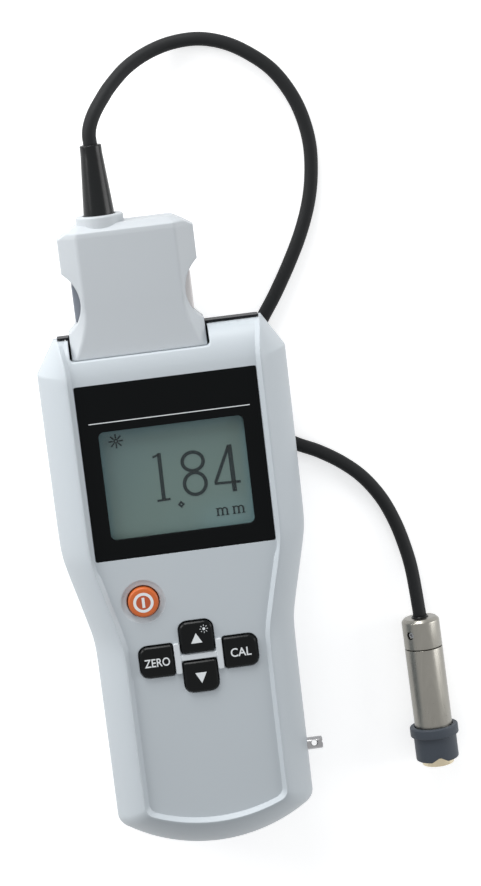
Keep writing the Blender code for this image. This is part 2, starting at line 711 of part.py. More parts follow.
def rear_shell(look):
    shell = hollow_shell("rear_shell", rear_outer(), rear_inner(), look["shell"])
    bay = box("bay_block", (-BAY_HALF - BAY_WALL, BAY_LOW_Y - BAY_WALL, WALL / 2),
              (BAY_HALF + BAY_WALL, BAY_HIGH_Y + BAY_WALL, BAY_TOP + BAY_WALL))
    right = np.array_split(outline(0.0, 0.8 * BACK_TAPER), 2)[0]
    edge = BAY_LOW_Y - BAY_WALL / 2
    corner = (float(np.interp(-edge, -right[:, 1], right[:, 0])), edge)
    end = np.array([corner, *right[right[:, 1] < edge]])
    end = np.concatenate([end, end[::-1] * (-1, 1)])
    floor = prism("end_floor", end, (COVER_THICK - GAP, COVER_THICK + GAP + WALL))
    posts, holes = screw_posts("rear_case", case_places(), CASE_POST_RADIUS, CASE_SCREW_SEAT_Z - WALL / 2,
                               REAR_Z, CASE_SCREW_RADIUS + GAP, REAR_Z)
    sinks = [turned(f"sink_{k}", [(-WALL, CASE_SCREW_HEAD + GAP), (CASE_SCREW_SEAT_Z, CASE_SCREW_HEAD + GAP)],
                    (x, y, 0), (0, 0, 1), sides=18) for k, (x, y) in enumerate(case_places())]
    sleeve = CASE_SCREW_HEAD + GAP + WALL / 2
    seat = CASE_SCREW_SEAT_Z + WALL / 2
    sleeves = [turned(f"sleeve_{k}", [(back_height(y) + WALL / 2, sleeve), (seat, sleeve)],
                      (x, y, 0), (0, 0, 1), sides=18) for k, (x, y) in enumerate(case_places())]
    bay_hollow = box("bay_hollow", (-BAY_HALF, BAY_LOW_Y, -WALL), (BAY_HALF, BAY_HIGH_Y, BAY_TOP))
    join(shell, bay, floor, several("sink_sleeves", sleeves), posts)
    cut(shell, holes, several("screw_sinks", sinks), bay_hollow, cover_bar("cover_channel", GAP),
        well_notch("rear_notch", HEAD_LIFT + WALL + GAP / 2, CASE_DEPTH), strap_bore("rear_strap_bore"))
    return shell


def battery_cover(look):
    cover = cover_bar("battery_cover", 0)
    cover.data.materials.append(look["shell"])
    boolean(cover, "INTERSECT", [case_form("back_form", rear_outer())])
    first = COVER_HIGH_Y - (COVER_GROOVES + 1) * COVER_GROOVE_PITCH
    grooves = [box(f"groove_{k}", (-0.6 * COVER_HALF, first - k * COVER_GROOVE_PITCH, -WALL),
                   (0.6 * COVER_HALF, first - k * COVER_GROOVE_PITCH + COVER_GROOVE_WIDTH, COVER_GROOVE_DEPTH))
               for k in range(COVER_GROOVES)]
    cut(cover, several("cover_grooves", grooves))
    return cover


# Display

def display(look):
    label = rounded_rectangle(0, LABEL_Y, LABEL_WIDTH, LABEL_HIGH_Y - LABEL_LOW_Y, [2 * GAP] * 4, 2)
    overlay = prism("display_label", label, (LABEL_FLOOR + GAP / 2, FACE_Z), look["label"])
    window = rounded_rectangle(0, WINDOW_Y, WINDOW_WIDTH, WINDOW_HEIGHT, [WINDOW_CORNER] * 4)
    cut(overlay, prism("label_window", window, (CEILING_Z, CASE_DEPTH + WALL)))
    lens = rounded_rectangle(0, WINDOW_Y, WINDOW_WIDTH + 2 * LENS_MARGIN, WINDOW_HEIGHT + 2 * LENS_MARGIN,
                             [WINDOW_CORNER + LENS_MARGIN] * 4)
    prism("display_lens", lens, (LENS_TOP - LENS_THICK, LENS_TOP), look["lens"])
    width, height = WINDOW_WIDTH + 2 * PANEL_MARGIN, WINDOW_HEIGHT + 2 * PANEL_MARGIN
    low, high = WINDOW_Y - height / 2, WINDOW_Y + height / 2
    box("lcd_panel", (-width / 2, low, LCD_TOP - PANEL_THICK), (width / 2, high, LCD_TOP), look["lcd"])
    rim = LCD_FRAME_RIM + GAP
    frame = box("lcd_frame", (-width / 2 - rim, low - rim, BOARD_TOP + GAP),
                (width / 2 + rim, high + rim, LCD_TOP - GAP), look["steel"])
    cut(frame, box("lcd_pocket", (-width / 2 - GAP, low - GAP, LCD_TOP - PANEL_THICK - GAP),
                   (width / 2 + GAP, high + GAP, CASE_DEPTH)))


# Keys and what they press on

def square_key(name, look):
    x, y, _ = KEYS[name]
    top = FACE_Z + KEY_PROUD
    flange = key_outline(name, KEY_FLANGE + GAP)
    plan = [(flange, KEY_BASE), (flange, KEY_FLANGE_TOP), (key_outline(name), KEY_FLANGE_TOP),
            (key_outline(name), top - KEY_SLOPE), (key_outline(name, -KEY_SLOPE), top - GAP / 2),
            (key_outline(name, -KEY_SLOPE - GAP), top)]
    rings = [[(px, py, z) for px, py in shape] for shape, z in plan]
    return loft(name, rings, look["black"], origin=(x, y, KEY_BASE))


def power_key(look):
    top = FACE_Z + KEY_PROUD
    flange = POWER_RADIUS + POWER_GAP + KEY_FLANGE
    profile = [(KEY_BASE, flange), (KEY_FLANGE_TOP, flange), (KEY_FLANGE_TOP, POWER_RADIUS),
               (top - 2 * GAP, POWER_RADIUS), (top - GAP / 2, POWER_RADIUS - GAP),
               (top, POWER_RADIUS - 4 * GAP)]
    return turned("power_key", profile, (POWER_X, POWER_Y, 0), (0, 0, 1), look["orange"], 32,
                  origin=(POWER_X, POWER_Y, KEY_BASE))


def keypad_mat(look):
    """A rubber sheet on the board with a dome under each key."""
    base = BOARD_TOP + GAP
    side = body_half(KEY_CENTRE_Y, HEAD_WIDTH / 2, GRIP_WIDTH / 2)
    half = side - CASE_SCREW_INSET - CASE_POST_RADIUS - GAP
    low = KEY_CENTRE_Y - KEY_STEP_Y - KEY_HEIGHT / 2 - KEY_FLANGE
    high = POWER_Y + POWER_RADIUS + POWER_GAP
    plan = rounded_rectangle(0, (low + high) / 2, 2 * half, high - low, [KEY_ROUND] * 4)
    mat = prism("keypad_mat", plan, (base, base + MAT_THICK), look["rubber"])
    places = [(x, y) for x, y, _ in KEYS.values()] + [(POWER_X, POWER_Y)]
    dome_top = KEY_BASE - KEY_TRAVEL - GAP
    radius = 0.4 * KEY_HEIGHT
    domes = [turned(f"dome_{k}", [(base + MAT_THICK / 2, radius), (dome_top - GAP, 0.9 * radius),
                                  (dome_top, 0.7 * radius)], (x, y, 0), (0, 0, 1), sides=12)
             for k, (x, y) in enumerate(places)]
    join(mat, several("mat_domes", domes))
    return mat


# Circuit board and screws

def circuit_board(look):
    rows = np.linspace(BOARD_HIGH_Y, BOARD_LOW_Y, 16)
    half = body_half(rows, HEAD_WIDTH / 2, GRIP_WIDTH / 2) - BOARD_MARGIN
    right = np.stack([half, rows], 1)
    plan = np.concatenate([right, right[::-1] * (-1, 1)])
    board = prism("circuit_board", plan, (BOARD_Z, BOARD_TOP), look["board"])
    holes = [turned(f"board_bore_{k}", [(BOARD_Z - WALL, BOARD_SCREW_RADIUS + GAP),
                                        (BOARD_TOP + WALL, BOARD_SCREW_RADIUS + GAP)],
                    (x, y, 0), (0, 0, 1), sides=8) for k, (x, y) in enumerate(board_places())]
    relief = CASE_POST_RADIUS + GAP
    holes += [turned(f"board_relief_{k}", [(BOARD_Z - WALL, relief), (BOARD_TOP + WALL, relief)],
                     (x, y, 0), (0, 0, 1), sides=14) for k, (x, y) in enumerate(case_places())]
    cut(board, several("board_bores", holes))
    return board


def screw(name, x, y, seat, head, head_thick, shank, length, look):
    """A pan head screw driven upwards, its head under the seat, with a slot in the head."""
    profile = [(seat - head_thick - GAP, 0.75 * head), (seat - 0.7 * head_thick - GAP, head),
               (seat - GAP, head), (seat - GAP, shank), (seat + length - shank, shank),
               (seat + length, 0.4 * shank)]
    body = turned(name, profile, (x, y, 0), (0, 0, 1), look["steel"], 10, origin=(x, y, seat))
    low = seat - head_thick - 2 * GAP
    depth = seat - 0.55 * head_thick - GAP
    cut(body, box(f"{name}_slot", (x - 1.1 * head, y - 0.14 * head, low),
                  (x + 1.1 * head, y + 0.14 * head, depth)))
    return body


def screws(look):
    for k, (x, y) in enumerate(board_places()):
        length = CEILING_Z - BOARD_Z - 3 * GAP
        screw(f"board_screw_{k + 1}", x, y, BOARD_Z, BOARD_SCREW_HEAD, 0.6 * BOARD_SCREW_HEAD,
              BOARD_SCREW_RADIUS, length, look)
    for k, (x, y) in enumerate(case_places()):
        screw(f"case_screw_{k + 1}", x, y, CASE_SCREW_SEAT_Z, CASE_SCREW_HEAD, CASE_SCREW_HEAD_THICK,
              CASE_SCREW_RADIUS, CASE_SCREW_LENGTH, look)


# Batteries

def batteries(look):
    low = CELL_CENTRE_Y - CELL_LENGTH / 2
    high = CELL_CENTRE_Y + CELL_LENGTH / 2
    edge = 0.08 * CELL_RADIUS
    profile = [(low, CELL_RADIUS - edge), (low + edge, CELL_RADIUS), (high - edge, CELL_RADIUS),
               (high, CELL_RADIUS - edge), (high, CELL_NUB_RADIUS), (high + CELL_NUB_LENGTH, CELL_NUB_RADIUS)]
    middle = CELL_RADIUS + GAP / 2
    for side, name in ((-1, "left"), (1, "right")):
        x = side * middle
        turned(f"battery_{name}", profile, (x, 0, CELL_Z), (0, 1, 0), look["cell"], 20)
        coil_low = BAY_LOW_Y + 2 * GAP + SPRING_WIRE
        coil_high = low - GAP - SPRING_WIRE
        coil(f"battery_spring_{name}", (x, 0, CELL_Z), (0, 1, 0), coil_low, coil_high,
             0.62 * CELL_RADIUS, 0.3 * CELL_RADIUS, 2.5, look)
    thick = GAP
    top = BAY_HIGH_Y - GAP
    box("battery_contact", (-middle - CELL_NUB_RADIUS, top - thick, CELL_Z - CELL_NUB_RADIUS),
        (middle + CELL_NUB_RADIUS, top, CELL_Z + CELL_NUB_RADIUS), look["nickel"])


def coil(name, start, direction, low, high, radius_low, radius_high, turns, look, sides=5, steps=9):
    """A round wire along a helix whose radius runs from one end's to the other's."""
    turn = Vector((0, 0, 1)).rotation_difference(Vector(direction)).to_matrix()
    count = int(turns * steps)
    rings = []
    for k in range(count + 1):
        t = k / count
        a = 2 * pi * turns * t
        radius = radius_low + (radius_high - radius_low) * t
        outward = Vector((cos(a), sin(a), 0))
        centre = outward * radius + Vector((0, 0, low + (high - low) * t))
        ring = []
        for j in range(sides):
            b = 2 * pi * j / sides
            offset = outward * cos(b) + Vector((0, 0, 1)) * sin(b)
            ring.append(Vector(start) + turn @ (centre + offset * SPRING_WIRE))
        rings.append(ring)
    return loft(name, rings, look["steel"])


# Top end of the case and the socket in it

def top_end_panel(look):
    front = TOP_Y + GAP
    thick = 0.6 * LINER
    bottom = SEAM_Z + GAP
    half = TOP_WIDTH / 2 - RIM_TOP
    plate = [(-half, bottom), (half, bottom), (half, LINER_TOP), (-half, LINER_TOP)]
    panel = loft("top_end_panel", [[(x, y, z) for x, z in plate] for y in (front, front + thick)],
                 look["black"], smooth=0)
    floor = HEAD_LIFT + WALL + GAP
    outer = (WELL_HALF + LINER, WELL_HALF)
    well = box("well_block", (PLUG_X - outer[0], WELL_Y, floor), (PLUG_X + outer[0], front + thick, LINER_TOP))
    join(panel, well)
    hollow = box("well_hollow", (PLUG_X - outer[1], PLUG_LOW_Y - GAP, floor + LINER),
                 (PLUG_X + outer[1], front + WALL, CASE_DEPTH))
    nose = box("well_nose_hole", (PLUG_X - BLOCK_HALF - GAP, WELL_Y - WALL, CABLE_Z - BLOCK_HALF_HEIGHT - GAP),
               (PLUG_X + BLOCK_HALF + GAP, PLUG_LOW_Y, CABLE_Z + BLOCK_HALF_HEIGHT + GAP))
    cut(panel, hollow, nose)
    return panel


def pin_boxes(tag, half, low, high):
    first = PLUG_X - PIN_PITCH * (PIN_COLUMNS - 1) / 2
    parts = []
    for column in range(PIN_COLUMNS):
        for side in (-1, 1):
            x = first + column * PIN_PITCH
            z = CABLE_Z + side * PIN_ROW_HEIGHT
            parts.append(box(f"{tag}_{column}_{side + 1}", (x - half, low, z - half),
                             (x + half, high, z + half)))
    return several(tag, parts)


def socket_connector(look):
    front = WELL_Y - GAP
    back = front - SOCKET_DEPTH - SOCKET_WALL
    half, height = BLOCK_HALF + GAP, BLOCK_HALF_HEIGHT + GAP
    body = box("socket_connector", (PLUG_X - half - SOCKET_WALL, back, CABLE_Z - height - SOCKET_WALL),
               (PLUG_X + half + SOCKET_WALL, front, CABLE_Z + height + SOCKET_WALL), look["black"])
    cut(body, box("socket_cavity", (PLUG_X - half, back + SOCKET_WALL, CABLE_Z - height),
                  (PLUG_X + half, front + WALL, CABLE_Z + height)))
    floor = back + SOCKET_WALL
    join(body, pin_boxes("socket_pins", PIN_SIZE / 2, floor - SOCKET_WALL / 2, floor + PIN_LENGTH))
    return body


def contact_block(look):
    """The plug's nose, held by its shoulder inside the plug's halves."""
    tip = PLUG_LOW_Y - BLOCK_NOSE
    inside = CAVITY_LOW_Y + GAP
    wide, tall = BLOCK_HALF + BLOCK_SHOULDER, BLOCK_HALF_HEIGHT + BLOCK_SHOULDER / 2
    sections = [(tip, BLOCK_HALF - GAP, BLOCK_HALF_HEIGHT - GAP),
                (tip + 2 * GAP, BLOCK_HALF, BLOCK_HALF_HEIGHT), (inside, BLOCK_HALF, BLOCK_HALF_HEIGHT),
                (inside, wide, tall), (inside + 2 * BLOCK_SHOULDER, wide, tall)]
    rings = [[(PLUG_X + sx * w, y, CABLE_Z + sz * h) for sx, sz in ((-1, -1), (1, -1), (1, 1), (-1, 1))]
             for y, w, h in sections]
    block = loft("plug_contact_block", rings, look["black"], smooth=0)
    cut(block, pin_boxes("contact_holes", PIN_SIZE / 2 + GAP, tip - WALL, tip + PIN_LENGTH))
    return block


# Probe plug

def plug_rings(side):
    """Sections of one half along the plug: side 1 is the front half, -1 the back half."""
    flare = [PLUG_LOW_Y + PLUG_FLARE_LENGTH * k for k in (0, 0.12, 0.28, 0.46, 0.7, 1.0)]
    chamfer = PLUG_TOP_Y - PLUG_TOP_CHAMFER
    bevel = PLUG_TOP_Y - PLUG_TOP_BEVEL
    slope = PLUG_TOP_INSET / PLUG_TOP_CHAMFER
    rings = []
    for y in [*flare, chamfer, bevel, PLUG_TOP_Y]:
        wide = PLUG_HALF - max(0, y - chamfer) * slope
        rise = max(0, 1 - (y - PLUG_LOW_Y) / PLUG_FLARE_LENGTH) ** 1.6
        face = PLUG_HALF - PLUG_FACE_INSET + (PLUG_FACE_INSET - PLUG_FOOT_INSET) * rise
        depth = PLUG_DEPTH
        if y > bevel:
            face -= PLUG_TOP_BEVEL
            depth -= PLUG_TOP_DROP
        shoulder_z = depth - (wide - face) * PLUG_SIDE_SLOPE
        half = [(-wide, GAP / 2), (-wide, shoulder_z), (-face, depth), (face, depth), (wide, shoulder_z),
                (wide, GAP / 2)]
        rings.append([(PLUG_X + x, y, CABLE_Z + side * z) for x, z in half])
    return rings


def plug_half(name, side, look):
    half = loft(name, plug_rings(side), look["shell"], smooth=20)
    arc = np.linspace(0, pi, 13)
    levels = ((PLUG_TOP_Y - PLUG_END_WALL / 2, COLLAR_RADIUS), (COLLAR_TOP - 2 * GAP, COLLAR_RADIUS),
              (COLLAR_TOP, COLLAR_RADIUS - 2 * GAP))
    rings = [[(CABLE_X + r * cos(a), y, CABLE_Z + side * (GAP / 2 + r * sin(a))) for a in arc]
             for y, r in levels]
    join(half, loft(f"{name}_collar", rings))
    radius = (SCALLOP_CHORD ** 2 / 4 + SCALLOP_DEPTH ** 2) / (2 * SCALLOP_DEPTH)
    reach = PLUG_HALF - SCALLOP_DEPTH + radius
    scallops = [turned(f"{name}_scallop_{s + 1}", [(-CASE_DEPTH, radius), (CASE_DEPTH, radius)],
                       (PLUG_X + s * reach, SCALLOP_Y, CABLE_Z), (0, 0, 1), sides=48) for s in (-1, 1)]
    cavity = box(f"{name}_cavity", (PLUG_X - CAVITY_HALF, CAVITY_LOW_Y, CABLE_Z - CAVITY_DEPTH),
                 (PLUG_X + CAVITY_HALF, CAVITY_TOP_Y, CABLE_Z + CAVITY_DEPTH))
    windows = box(f"{name}_windows", (PLUG_X - PLUG_HALF - WALL, SCALLOP_Y - TAB_LENGTH / 2 - GAP,
                                      CABLE_Z - TAB_HEIGHT / 2 - GAP),
                  (PLUG_X + PLUG_HALF + WALL, SCALLOP_Y + TAB_LENGTH / 2 + GAP, CABLE_Z + TAB_HEIGHT / 2 + GAP))
    nose = box(f"{name}_nose_hole", (PLUG_X - BLOCK_HALF - GAP, PLUG_LOW_Y - WALL,
                                     CABLE_Z - BLOCK_HALF_HEIGHT - GAP),
               (PLUG_X + BLOCK_HALF + GAP, CAVITY_LOW_Y + WALL, CABLE_Z + BLOCK_HALF_HEIGHT + GAP))
    fit = BOOT_BASE_RADIUS + GAP
    bore = turned(f"{name}_bore", [(CAVITY_TOP_Y - WALL, fit), (COLLAR_TOP + WALL, fit)],
                  (CABLE_X, 0, CABLE_Z), (0, 1, 0), sides=24)
    cut(half, several(f"{name}_scallops", scallops), cavity, windows, nose, bore)
    return half


def release_tab(name, side, look):
    """A press button in the scallop, kept in by a wider plate behind the plug's wall."""
    inner = CAVITY_HALF - GAP
    back = inner - TAB_FLANGE
    front = PLUG_HALF - TAB_FACE_INSET
    long, tall = TAB_LENGTH / 2, TAB_HEIGHT / 2
    sections = [(back, long + TAB_LIP, tall + TAB_LIP), (inner, long + TAB_LIP, tall + TAB_LIP),
                (inner, long, tall), (front - GAP, long, tall), (front, long - GAP, tall - GAP)]
    rings = [[(PLUG_X + side * x, SCALLOP_Y + sy * a, CABLE_Z + sz * b)
              for sy, sz in ((-1, -1), (1, -1), (1, 1), (-1, 1))] for x, a, b in sections]
    origin = (PLUG_X + side * front, SCALLOP_Y, CABLE_Z)
    return loft(name, rings, look["shell"], smooth=0, origin=origin)


def strain_relief(look):
    inside = CAVITY_TOP_Y - GAP
    stations = [(inside - BOOT_FLANGE, BOOT_FLANGE_RADIUS), (inside, BOOT_FLANGE_RADIUS),
                (inside, BOOT_BASE_RADIUS), (COLLAR_TOP, BOOT_BASE_RADIUS)]
    for k in range(1, 7):
        t = k / 6
        radius = BOOT_BASE_RADIUS + (BOOT_TIP_RADIUS - BOOT_BASE_RADIUS) * t
        stations.append((COLLAR_TOP + BOOT_LENGTH * t, radius))
    rings = []
    for y, r in stations:
        ring = [(CABLE_X + r * cos(a), y, CABLE_Z + r * sin(a)) for a in np.linspace(0, 2 * pi, 21)[:-1]]
        rings.append(ring)
    return loft("strain_relief", rings, look["rubber"])


# Cord and probe

def probe_lean():
    """The probe lies on its tail and on the sleeve's flange, which is wider."""
    first = TAIL_CHAMFER
    tilt = atan2(SLEEVE_FLANGE_RADIUS - TUBE_RADIUS, SLEEVE_START - first)
    height = TUBE_RADIUS * cos(tilt) - first * sin(tilt)
    return tilt, height


def probe_frame():
    tilt, height = probe_lean()
    start = Vector((PROBE_X, PROBE_TAIL_Y, height))
    direction = Vector((sin(PROBE_TURN) * cos(tilt), -cos(PROBE_TURN) * cos(tilt), sin(tilt)))
    return start, direction


def smooth_curve(points, step):
    """A Catmull-Rom curve through the points, read at even steps along its length."""
    path = np.array(points, float)
    path = np.vstack([2 * path[0] - path[1], path, 2 * path[-1] - path[-2]])
    t = np.linspace(0, 1, 24, endpoint=False)[:, None]
    pieces = []
    for a, b, c, d in zip(path[:-3], path[1:-2], path[2:-1], path[3:]):
        pieces.append(0.5 * (2 * b + (c - a) * t + (2 * a - 5 * b + 4 * c - d) * t ** 2
                             + (3 * b - a - 3 * c + d) * t ** 3))
    dense = np.vstack([*pieces, path[-2:-1]])
    along = np.concatenate([[0], np.cumsum(np.linalg.norm(np.diff(dense, axis=0), axis=1))])
    even = np.linspace(0, along[-1], int(round(along[-1] / step)) + 1)
    return np.stack([np.interp(even, along, dense[:, k]) for k in range(3)], 1)


def cord_points():
    """From the boot's tip, over the hand-chosen route, to the probe's tail."""
    boot_end = COLLAR_TOP + BOOT_LENGTH
    start, direction = probe_frame()
    first = [(CABLE_X, boot_end + GAP, CABLE_Z), (CABLE_X, boot_end + 0.18 * BOOT_LENGTH, CABLE_Z)]
    last = [start - direction * (GAP + 0.4 * TUBE_RADIUS), start - direction * GAP]
    return smooth_curve([*first, *CORD_ROUTE, *map(tuple, last)], CORD_STEP)


def probe_cord(look):
    points = cord_points()
    curve = bpy.data.curves.new("probe_cord", "CURVE")
    curve.dimensions = "3D"
    curve.bevel_depth = CORD_RADIUS
    curve.bevel_resolution = 2
    curve.use_fill_caps = True
    spline = curve.splines.new("POLY")
    spline.points.add(len(points) - 1)
    for knot, place in zip(spline.points, points):
        knot.co = (*place, 1)
    cord = bpy.data.objects.new("probe_cord", curve)
    curve.materials.append(look["cord"])
    bpy.context.scene.collection.objects.link(cord)
    return cord


def probe(look):
    start, direction = probe_frame()

    def piece(name, profile, surface, **more):
        return turned(name, profile, start, direction, look[surface], 24, **more)

    spigot = TUBE_BORE - GAP
    cap = piece("probe_tail_cap", [(0, TUBE_RADIUS - TAIL_CHAMFER), (TAIL_CHAMFER, TUBE_RADIUS),
                                   (TAIL_LENGTH, TUBE_RADIUS), (TAIL_LENGTH, spigot),
                                   (TAIL_LENGTH + TAIL_SPIGOT, spigot)], "nickel")
    across = Vector((0, 0, 1)).cross(direction).normalized()
    upward = direction.cross(across)
    outward = upward * cos(SET_SCREW_TURN) - across * sin(SET_SCREW_TURN)
    place = start + direction * SET_SCREW_AT
    fit = SET_SCREW_RADIUS + GAP
    hole = turned("set_screw_hole", [(TUBE_RADIUS - SET_SCREW_LENGTH - GAP, fit), (TUBE_RADIUS + WALL, fit)],
                  place, outward, sides=12)
    cut(cap, hole)
    screw_top = TUBE_RADIUS - 2 * GAP
    turned("probe_set_screw", [(screw_top - SET_SCREW_LENGTH + 2 * GAP, SET_SCREW_RADIUS),
                               (screw_top, SET_SCREW_RADIUS)], place, outward, look["steel"], 10)
    piece("probe_tube", [(TAIL_LENGTH + GAP, TUBE_RADIUS), (TUBE_END, TUBE_RADIUS), (TUBE_END, TUBE_BORE),
                         (TAIL_LENGTH + GAP, TUBE_BORE)], "nickel", closed=True)
    over = TUBE_RADIUS + GAP
    lip = SLEEVE_END - SLEEVE_FRONT
    mouth = TIP_RADIUS + GAP
    flange_end = SLEEVE_START + SLEEVE_FLANGE_LENGTH
    sleeve = piece("probe_sleeve", [(SLEEVE_START, SLEEVE_FLANGE_RADIUS),
                                    (flange_end - GAP, SLEEVE_FLANGE_RADIUS),
                                    (flange_end, SLEEVE_RADIUS), (SLEEVE_END - GAP, SLEEVE_RADIUS),
                                    (SLEEVE_END, SLEEVE_RADIUS - GAP), (SLEEVE_END, mouth), (lip, mouth),
                                    (lip, over), (SLEEVE_START, over)], "rubber", closed=True)
    corners = ((SLEEVE_END - SLEEVE_NOTCH_DEPTH, 0), (SLEEVE_END + SLEEVE_NOTCH_DEPTH, 2 * SLEEVE_NOTCH_HALF),
               (SLEEVE_END + SLEEVE_NOTCH_DEPTH, -2 * SLEEVE_NOTCH_HALF))
    bite = [[start + direction * along + across * side + upward * height for along, side in corners]
            for height in (0, SLEEVE_RADIUS + WALL)]
    cut(sleeve, loft("sleeve_bite", bite))
    bush_end = TUBE_END - GAP
    bush_start = bush_end - BUSH_LENGTH
    piece("probe_bush", [(bush_start, TUBE_BORE - GAP), (bush_end, TUBE_BORE - GAP),
                         (bush_end, STEM_RADIUS + GAP), (bush_start, STEM_RADIUS + GAP)], "brass", closed=True)
    tip_end = SLEEVE_END + TIP_PROUD
    tip_back = tip_end - TIP_THICK
    collar = TUBE_BORE - 4 * GAP
    collar_end = bush_start - GAP
    stem_start = tip_back - STEM_LENGTH
    plunger = piece("probe_plunger", [(stem_start, STEM_RADIUS), (collar_end - COLLAR_THICK, STEM_RADIUS),
                                      (collar_end - COLLAR_THICK, collar), (collar_end, collar),
                                      (collar_end, STEM_RADIUS), (tip_back, STEM_RADIUS),
                                      (tip_back, TIP_RADIUS), (tip_end - GAP, TIP_RADIUS),
                                      (tip_end, TIP_RADIUS - GAP)], "brass",
                    origin=tuple(start + direction * tip_end))
    pocket = 0.4 * TIP_THICK
    seat = POLE_RADIUS + GAP
    cut(plunger, piece("pole_pocket", [(tip_end - pocket - GAP, seat), (tip_end + WALL, seat)], "brass"))
    pole = piece("probe_pole", [(tip_end - pocket, POLE_RADIUS), (tip_end - GAP / 2, POLE_RADIUS),
                                (tip_end, POLE_RADIUS - GAP / 2)], "nickel")
    cut(pole, piece("pole_dimple", [(tip_end - pocket / 2, 0.3 * POLE_DIMPLE_RADIUS),
                                    (tip_end + pocket / 2, 1.7 * POLE_DIMPLE_RADIUS)], "nickel"))
    coil("probe_spring", start, direction, TAIL_LENGTH + TAIL_SPIGOT + GAP + SPRING_WIRE,
         collar_end - COLLAR_THICK - GAP - SPRING_WIRE, TUBE_BORE - 4 * GAP, TUBE_BORE - 4 * GAP,
         SPRING_TURNS, look)


def strap_post(look):
    """A pin in a bore shared by both shells, with a flange behind the wall and a cross hole."""
    wall_inside = GRIP_WIDTH / 2 - WALL
    flange_out = wall_inside - 5 * GAP
    out = GRIP_WIDTH / 2 + STRAP_OUT
    profile = [(flange_out - STRAP_FLANGE_THICK, STRAP_FLANGE_RADIUS), (flange_out, STRAP_FLANGE_RADIUS),
               (flange_out, STRAP_RADIUS), (out - GAP, STRAP_RADIUS), (out, STRAP_RADIUS - GAP)]
    z = SEAM_Z - GAP / 2
    post = turned("strap_post", profile, (0, STRAP_Y, z), (1, 0, 0), look["steel"], 20)
    middle = GRIP_WIDTH / 2 + 0.45 * STRAP_OUT
    reach = 2 * STRAP_RADIUS
    cut(post, turned("strap_hole", [(-reach, STRAP_HOLE_RADIUS), (reach, STRAP_HOLE_RADIUS)],
                     (middle, STRAP_Y, z), (0, 0, 1), sides=14))
    return post


def build():
    for thing in list(bpy.data.objects):
        bpy.data.objects.remove(thing)
    look = all_materials()
    front_shell(look)
    rear_shell(look)
    battery_cover(look)
    display(look)
    for name in KEYS:
        square_key(name, look)
    power_key(look)
    keypad_mat(look)
    circuit_board(look)
    screws(look)
    batteries(look)
    top_end_panel(look)
    socket_connector(look)
    contact_block(look)
    plug_half("plug_front_shell", 1, look)
    plug_half("plug_back_shell", -1, look)
    release_tab("release_tab_left", -1, look)
    release_tab("release_tab_right", 1, look)
    strain_relief(look)
    probe_cord(look)
    probe(look)
    strap_post(look)


build()
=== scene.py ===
# %% [markdown]
# # A coating thickness gauge, drawn in Blender
#
# The gauge is a handheld case with a display and five keys, a plug in a notch at its top end, and a
# probe on a cord. The solids come from a CAD program and stay as they are: they say where everything
# is. This lesson dresses them: it makes finer skins over the same sizes, prints the legends, and
# gives each surface a finish. All lengths are metres.

# %% Load the frame
from math import atan2, cos, pi, radians, sin

import bmesh
import bpy
import numpy as np
from mathutils import Matrix, Vector
from mathutils.geometry import delaunay_2d_cdt


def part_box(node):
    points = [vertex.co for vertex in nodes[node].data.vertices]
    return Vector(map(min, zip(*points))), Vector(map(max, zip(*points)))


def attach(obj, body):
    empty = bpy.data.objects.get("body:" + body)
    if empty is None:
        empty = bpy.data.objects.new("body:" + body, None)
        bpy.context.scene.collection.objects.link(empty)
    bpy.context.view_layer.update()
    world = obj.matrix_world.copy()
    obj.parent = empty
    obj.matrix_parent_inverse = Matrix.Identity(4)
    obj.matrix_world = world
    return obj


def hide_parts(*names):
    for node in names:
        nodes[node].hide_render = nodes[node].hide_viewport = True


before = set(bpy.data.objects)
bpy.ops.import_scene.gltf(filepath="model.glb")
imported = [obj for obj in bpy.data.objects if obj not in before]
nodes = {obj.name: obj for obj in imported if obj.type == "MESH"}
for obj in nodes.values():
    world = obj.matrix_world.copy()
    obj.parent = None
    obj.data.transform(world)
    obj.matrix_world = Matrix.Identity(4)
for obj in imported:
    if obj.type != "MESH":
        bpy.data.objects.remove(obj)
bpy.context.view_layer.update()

scene = bpy.context.scene

# %% [markdown]
# ## Sizes
#
# The skins have to sit exactly on the solids, so the sizes below are the ones that the solids were
# made with. A size that occurs twice is written once and named.

# %% Sizes of the case
GAP = 0.0003
WALL = 0.0022
CASE_LENGTH, HEAD_WIDTH, GRIP_WIDTH = 0.156, 0.072, 0.0586
TOP_WIDTH, CHAMFER_LENGTH = 0.0602, 0.0095
TOP_Y, BOTTOM_Y = CASE_LENGTH / 2, -CASE_LENGTH / 2
WAIST_HIGH_Y, WAIST_LOW_Y, WAIST_SOFTNESS = 0.0145, -0.012, 0.12
BOTTOM_RADIUS, CORNER_RADIUS, INNER_CORNER = 0.048, 0.0045, 0.0032
SEAM_Z, SIDE_LAND = 0.015, 0.001
CEILING_Z, FACE_Z, CASE_TOP_Z = 0.0264, 0.0286, 0.030
HEAD_LIFT, RAMP_LOW_Y, RAMP_HIGH_Y = 0.0065, 0.027, 0.034
RIM_SHOULDER, RIM_BOTTOM, RIM_BEVEL, RIM_TOP = 0.0083, 0.0106, 0.0013, 0.0011
SHOULDER_FULLNESS = 1.3
ROLL_LENGTH, ROLL_DROP = 0.0115, 0.0086
ROLL_Y = TOP_Y - ROLL_LENGTH
BACK_TAPER, EDGE_ROUND = 0.0058, 0.0022
REAR_Z = SEAM_Z - GAP
print("case is", CASE_LENGTH * 1000, "mm long and", HEAD_WIDTH * 1000, "mm wide at the head")

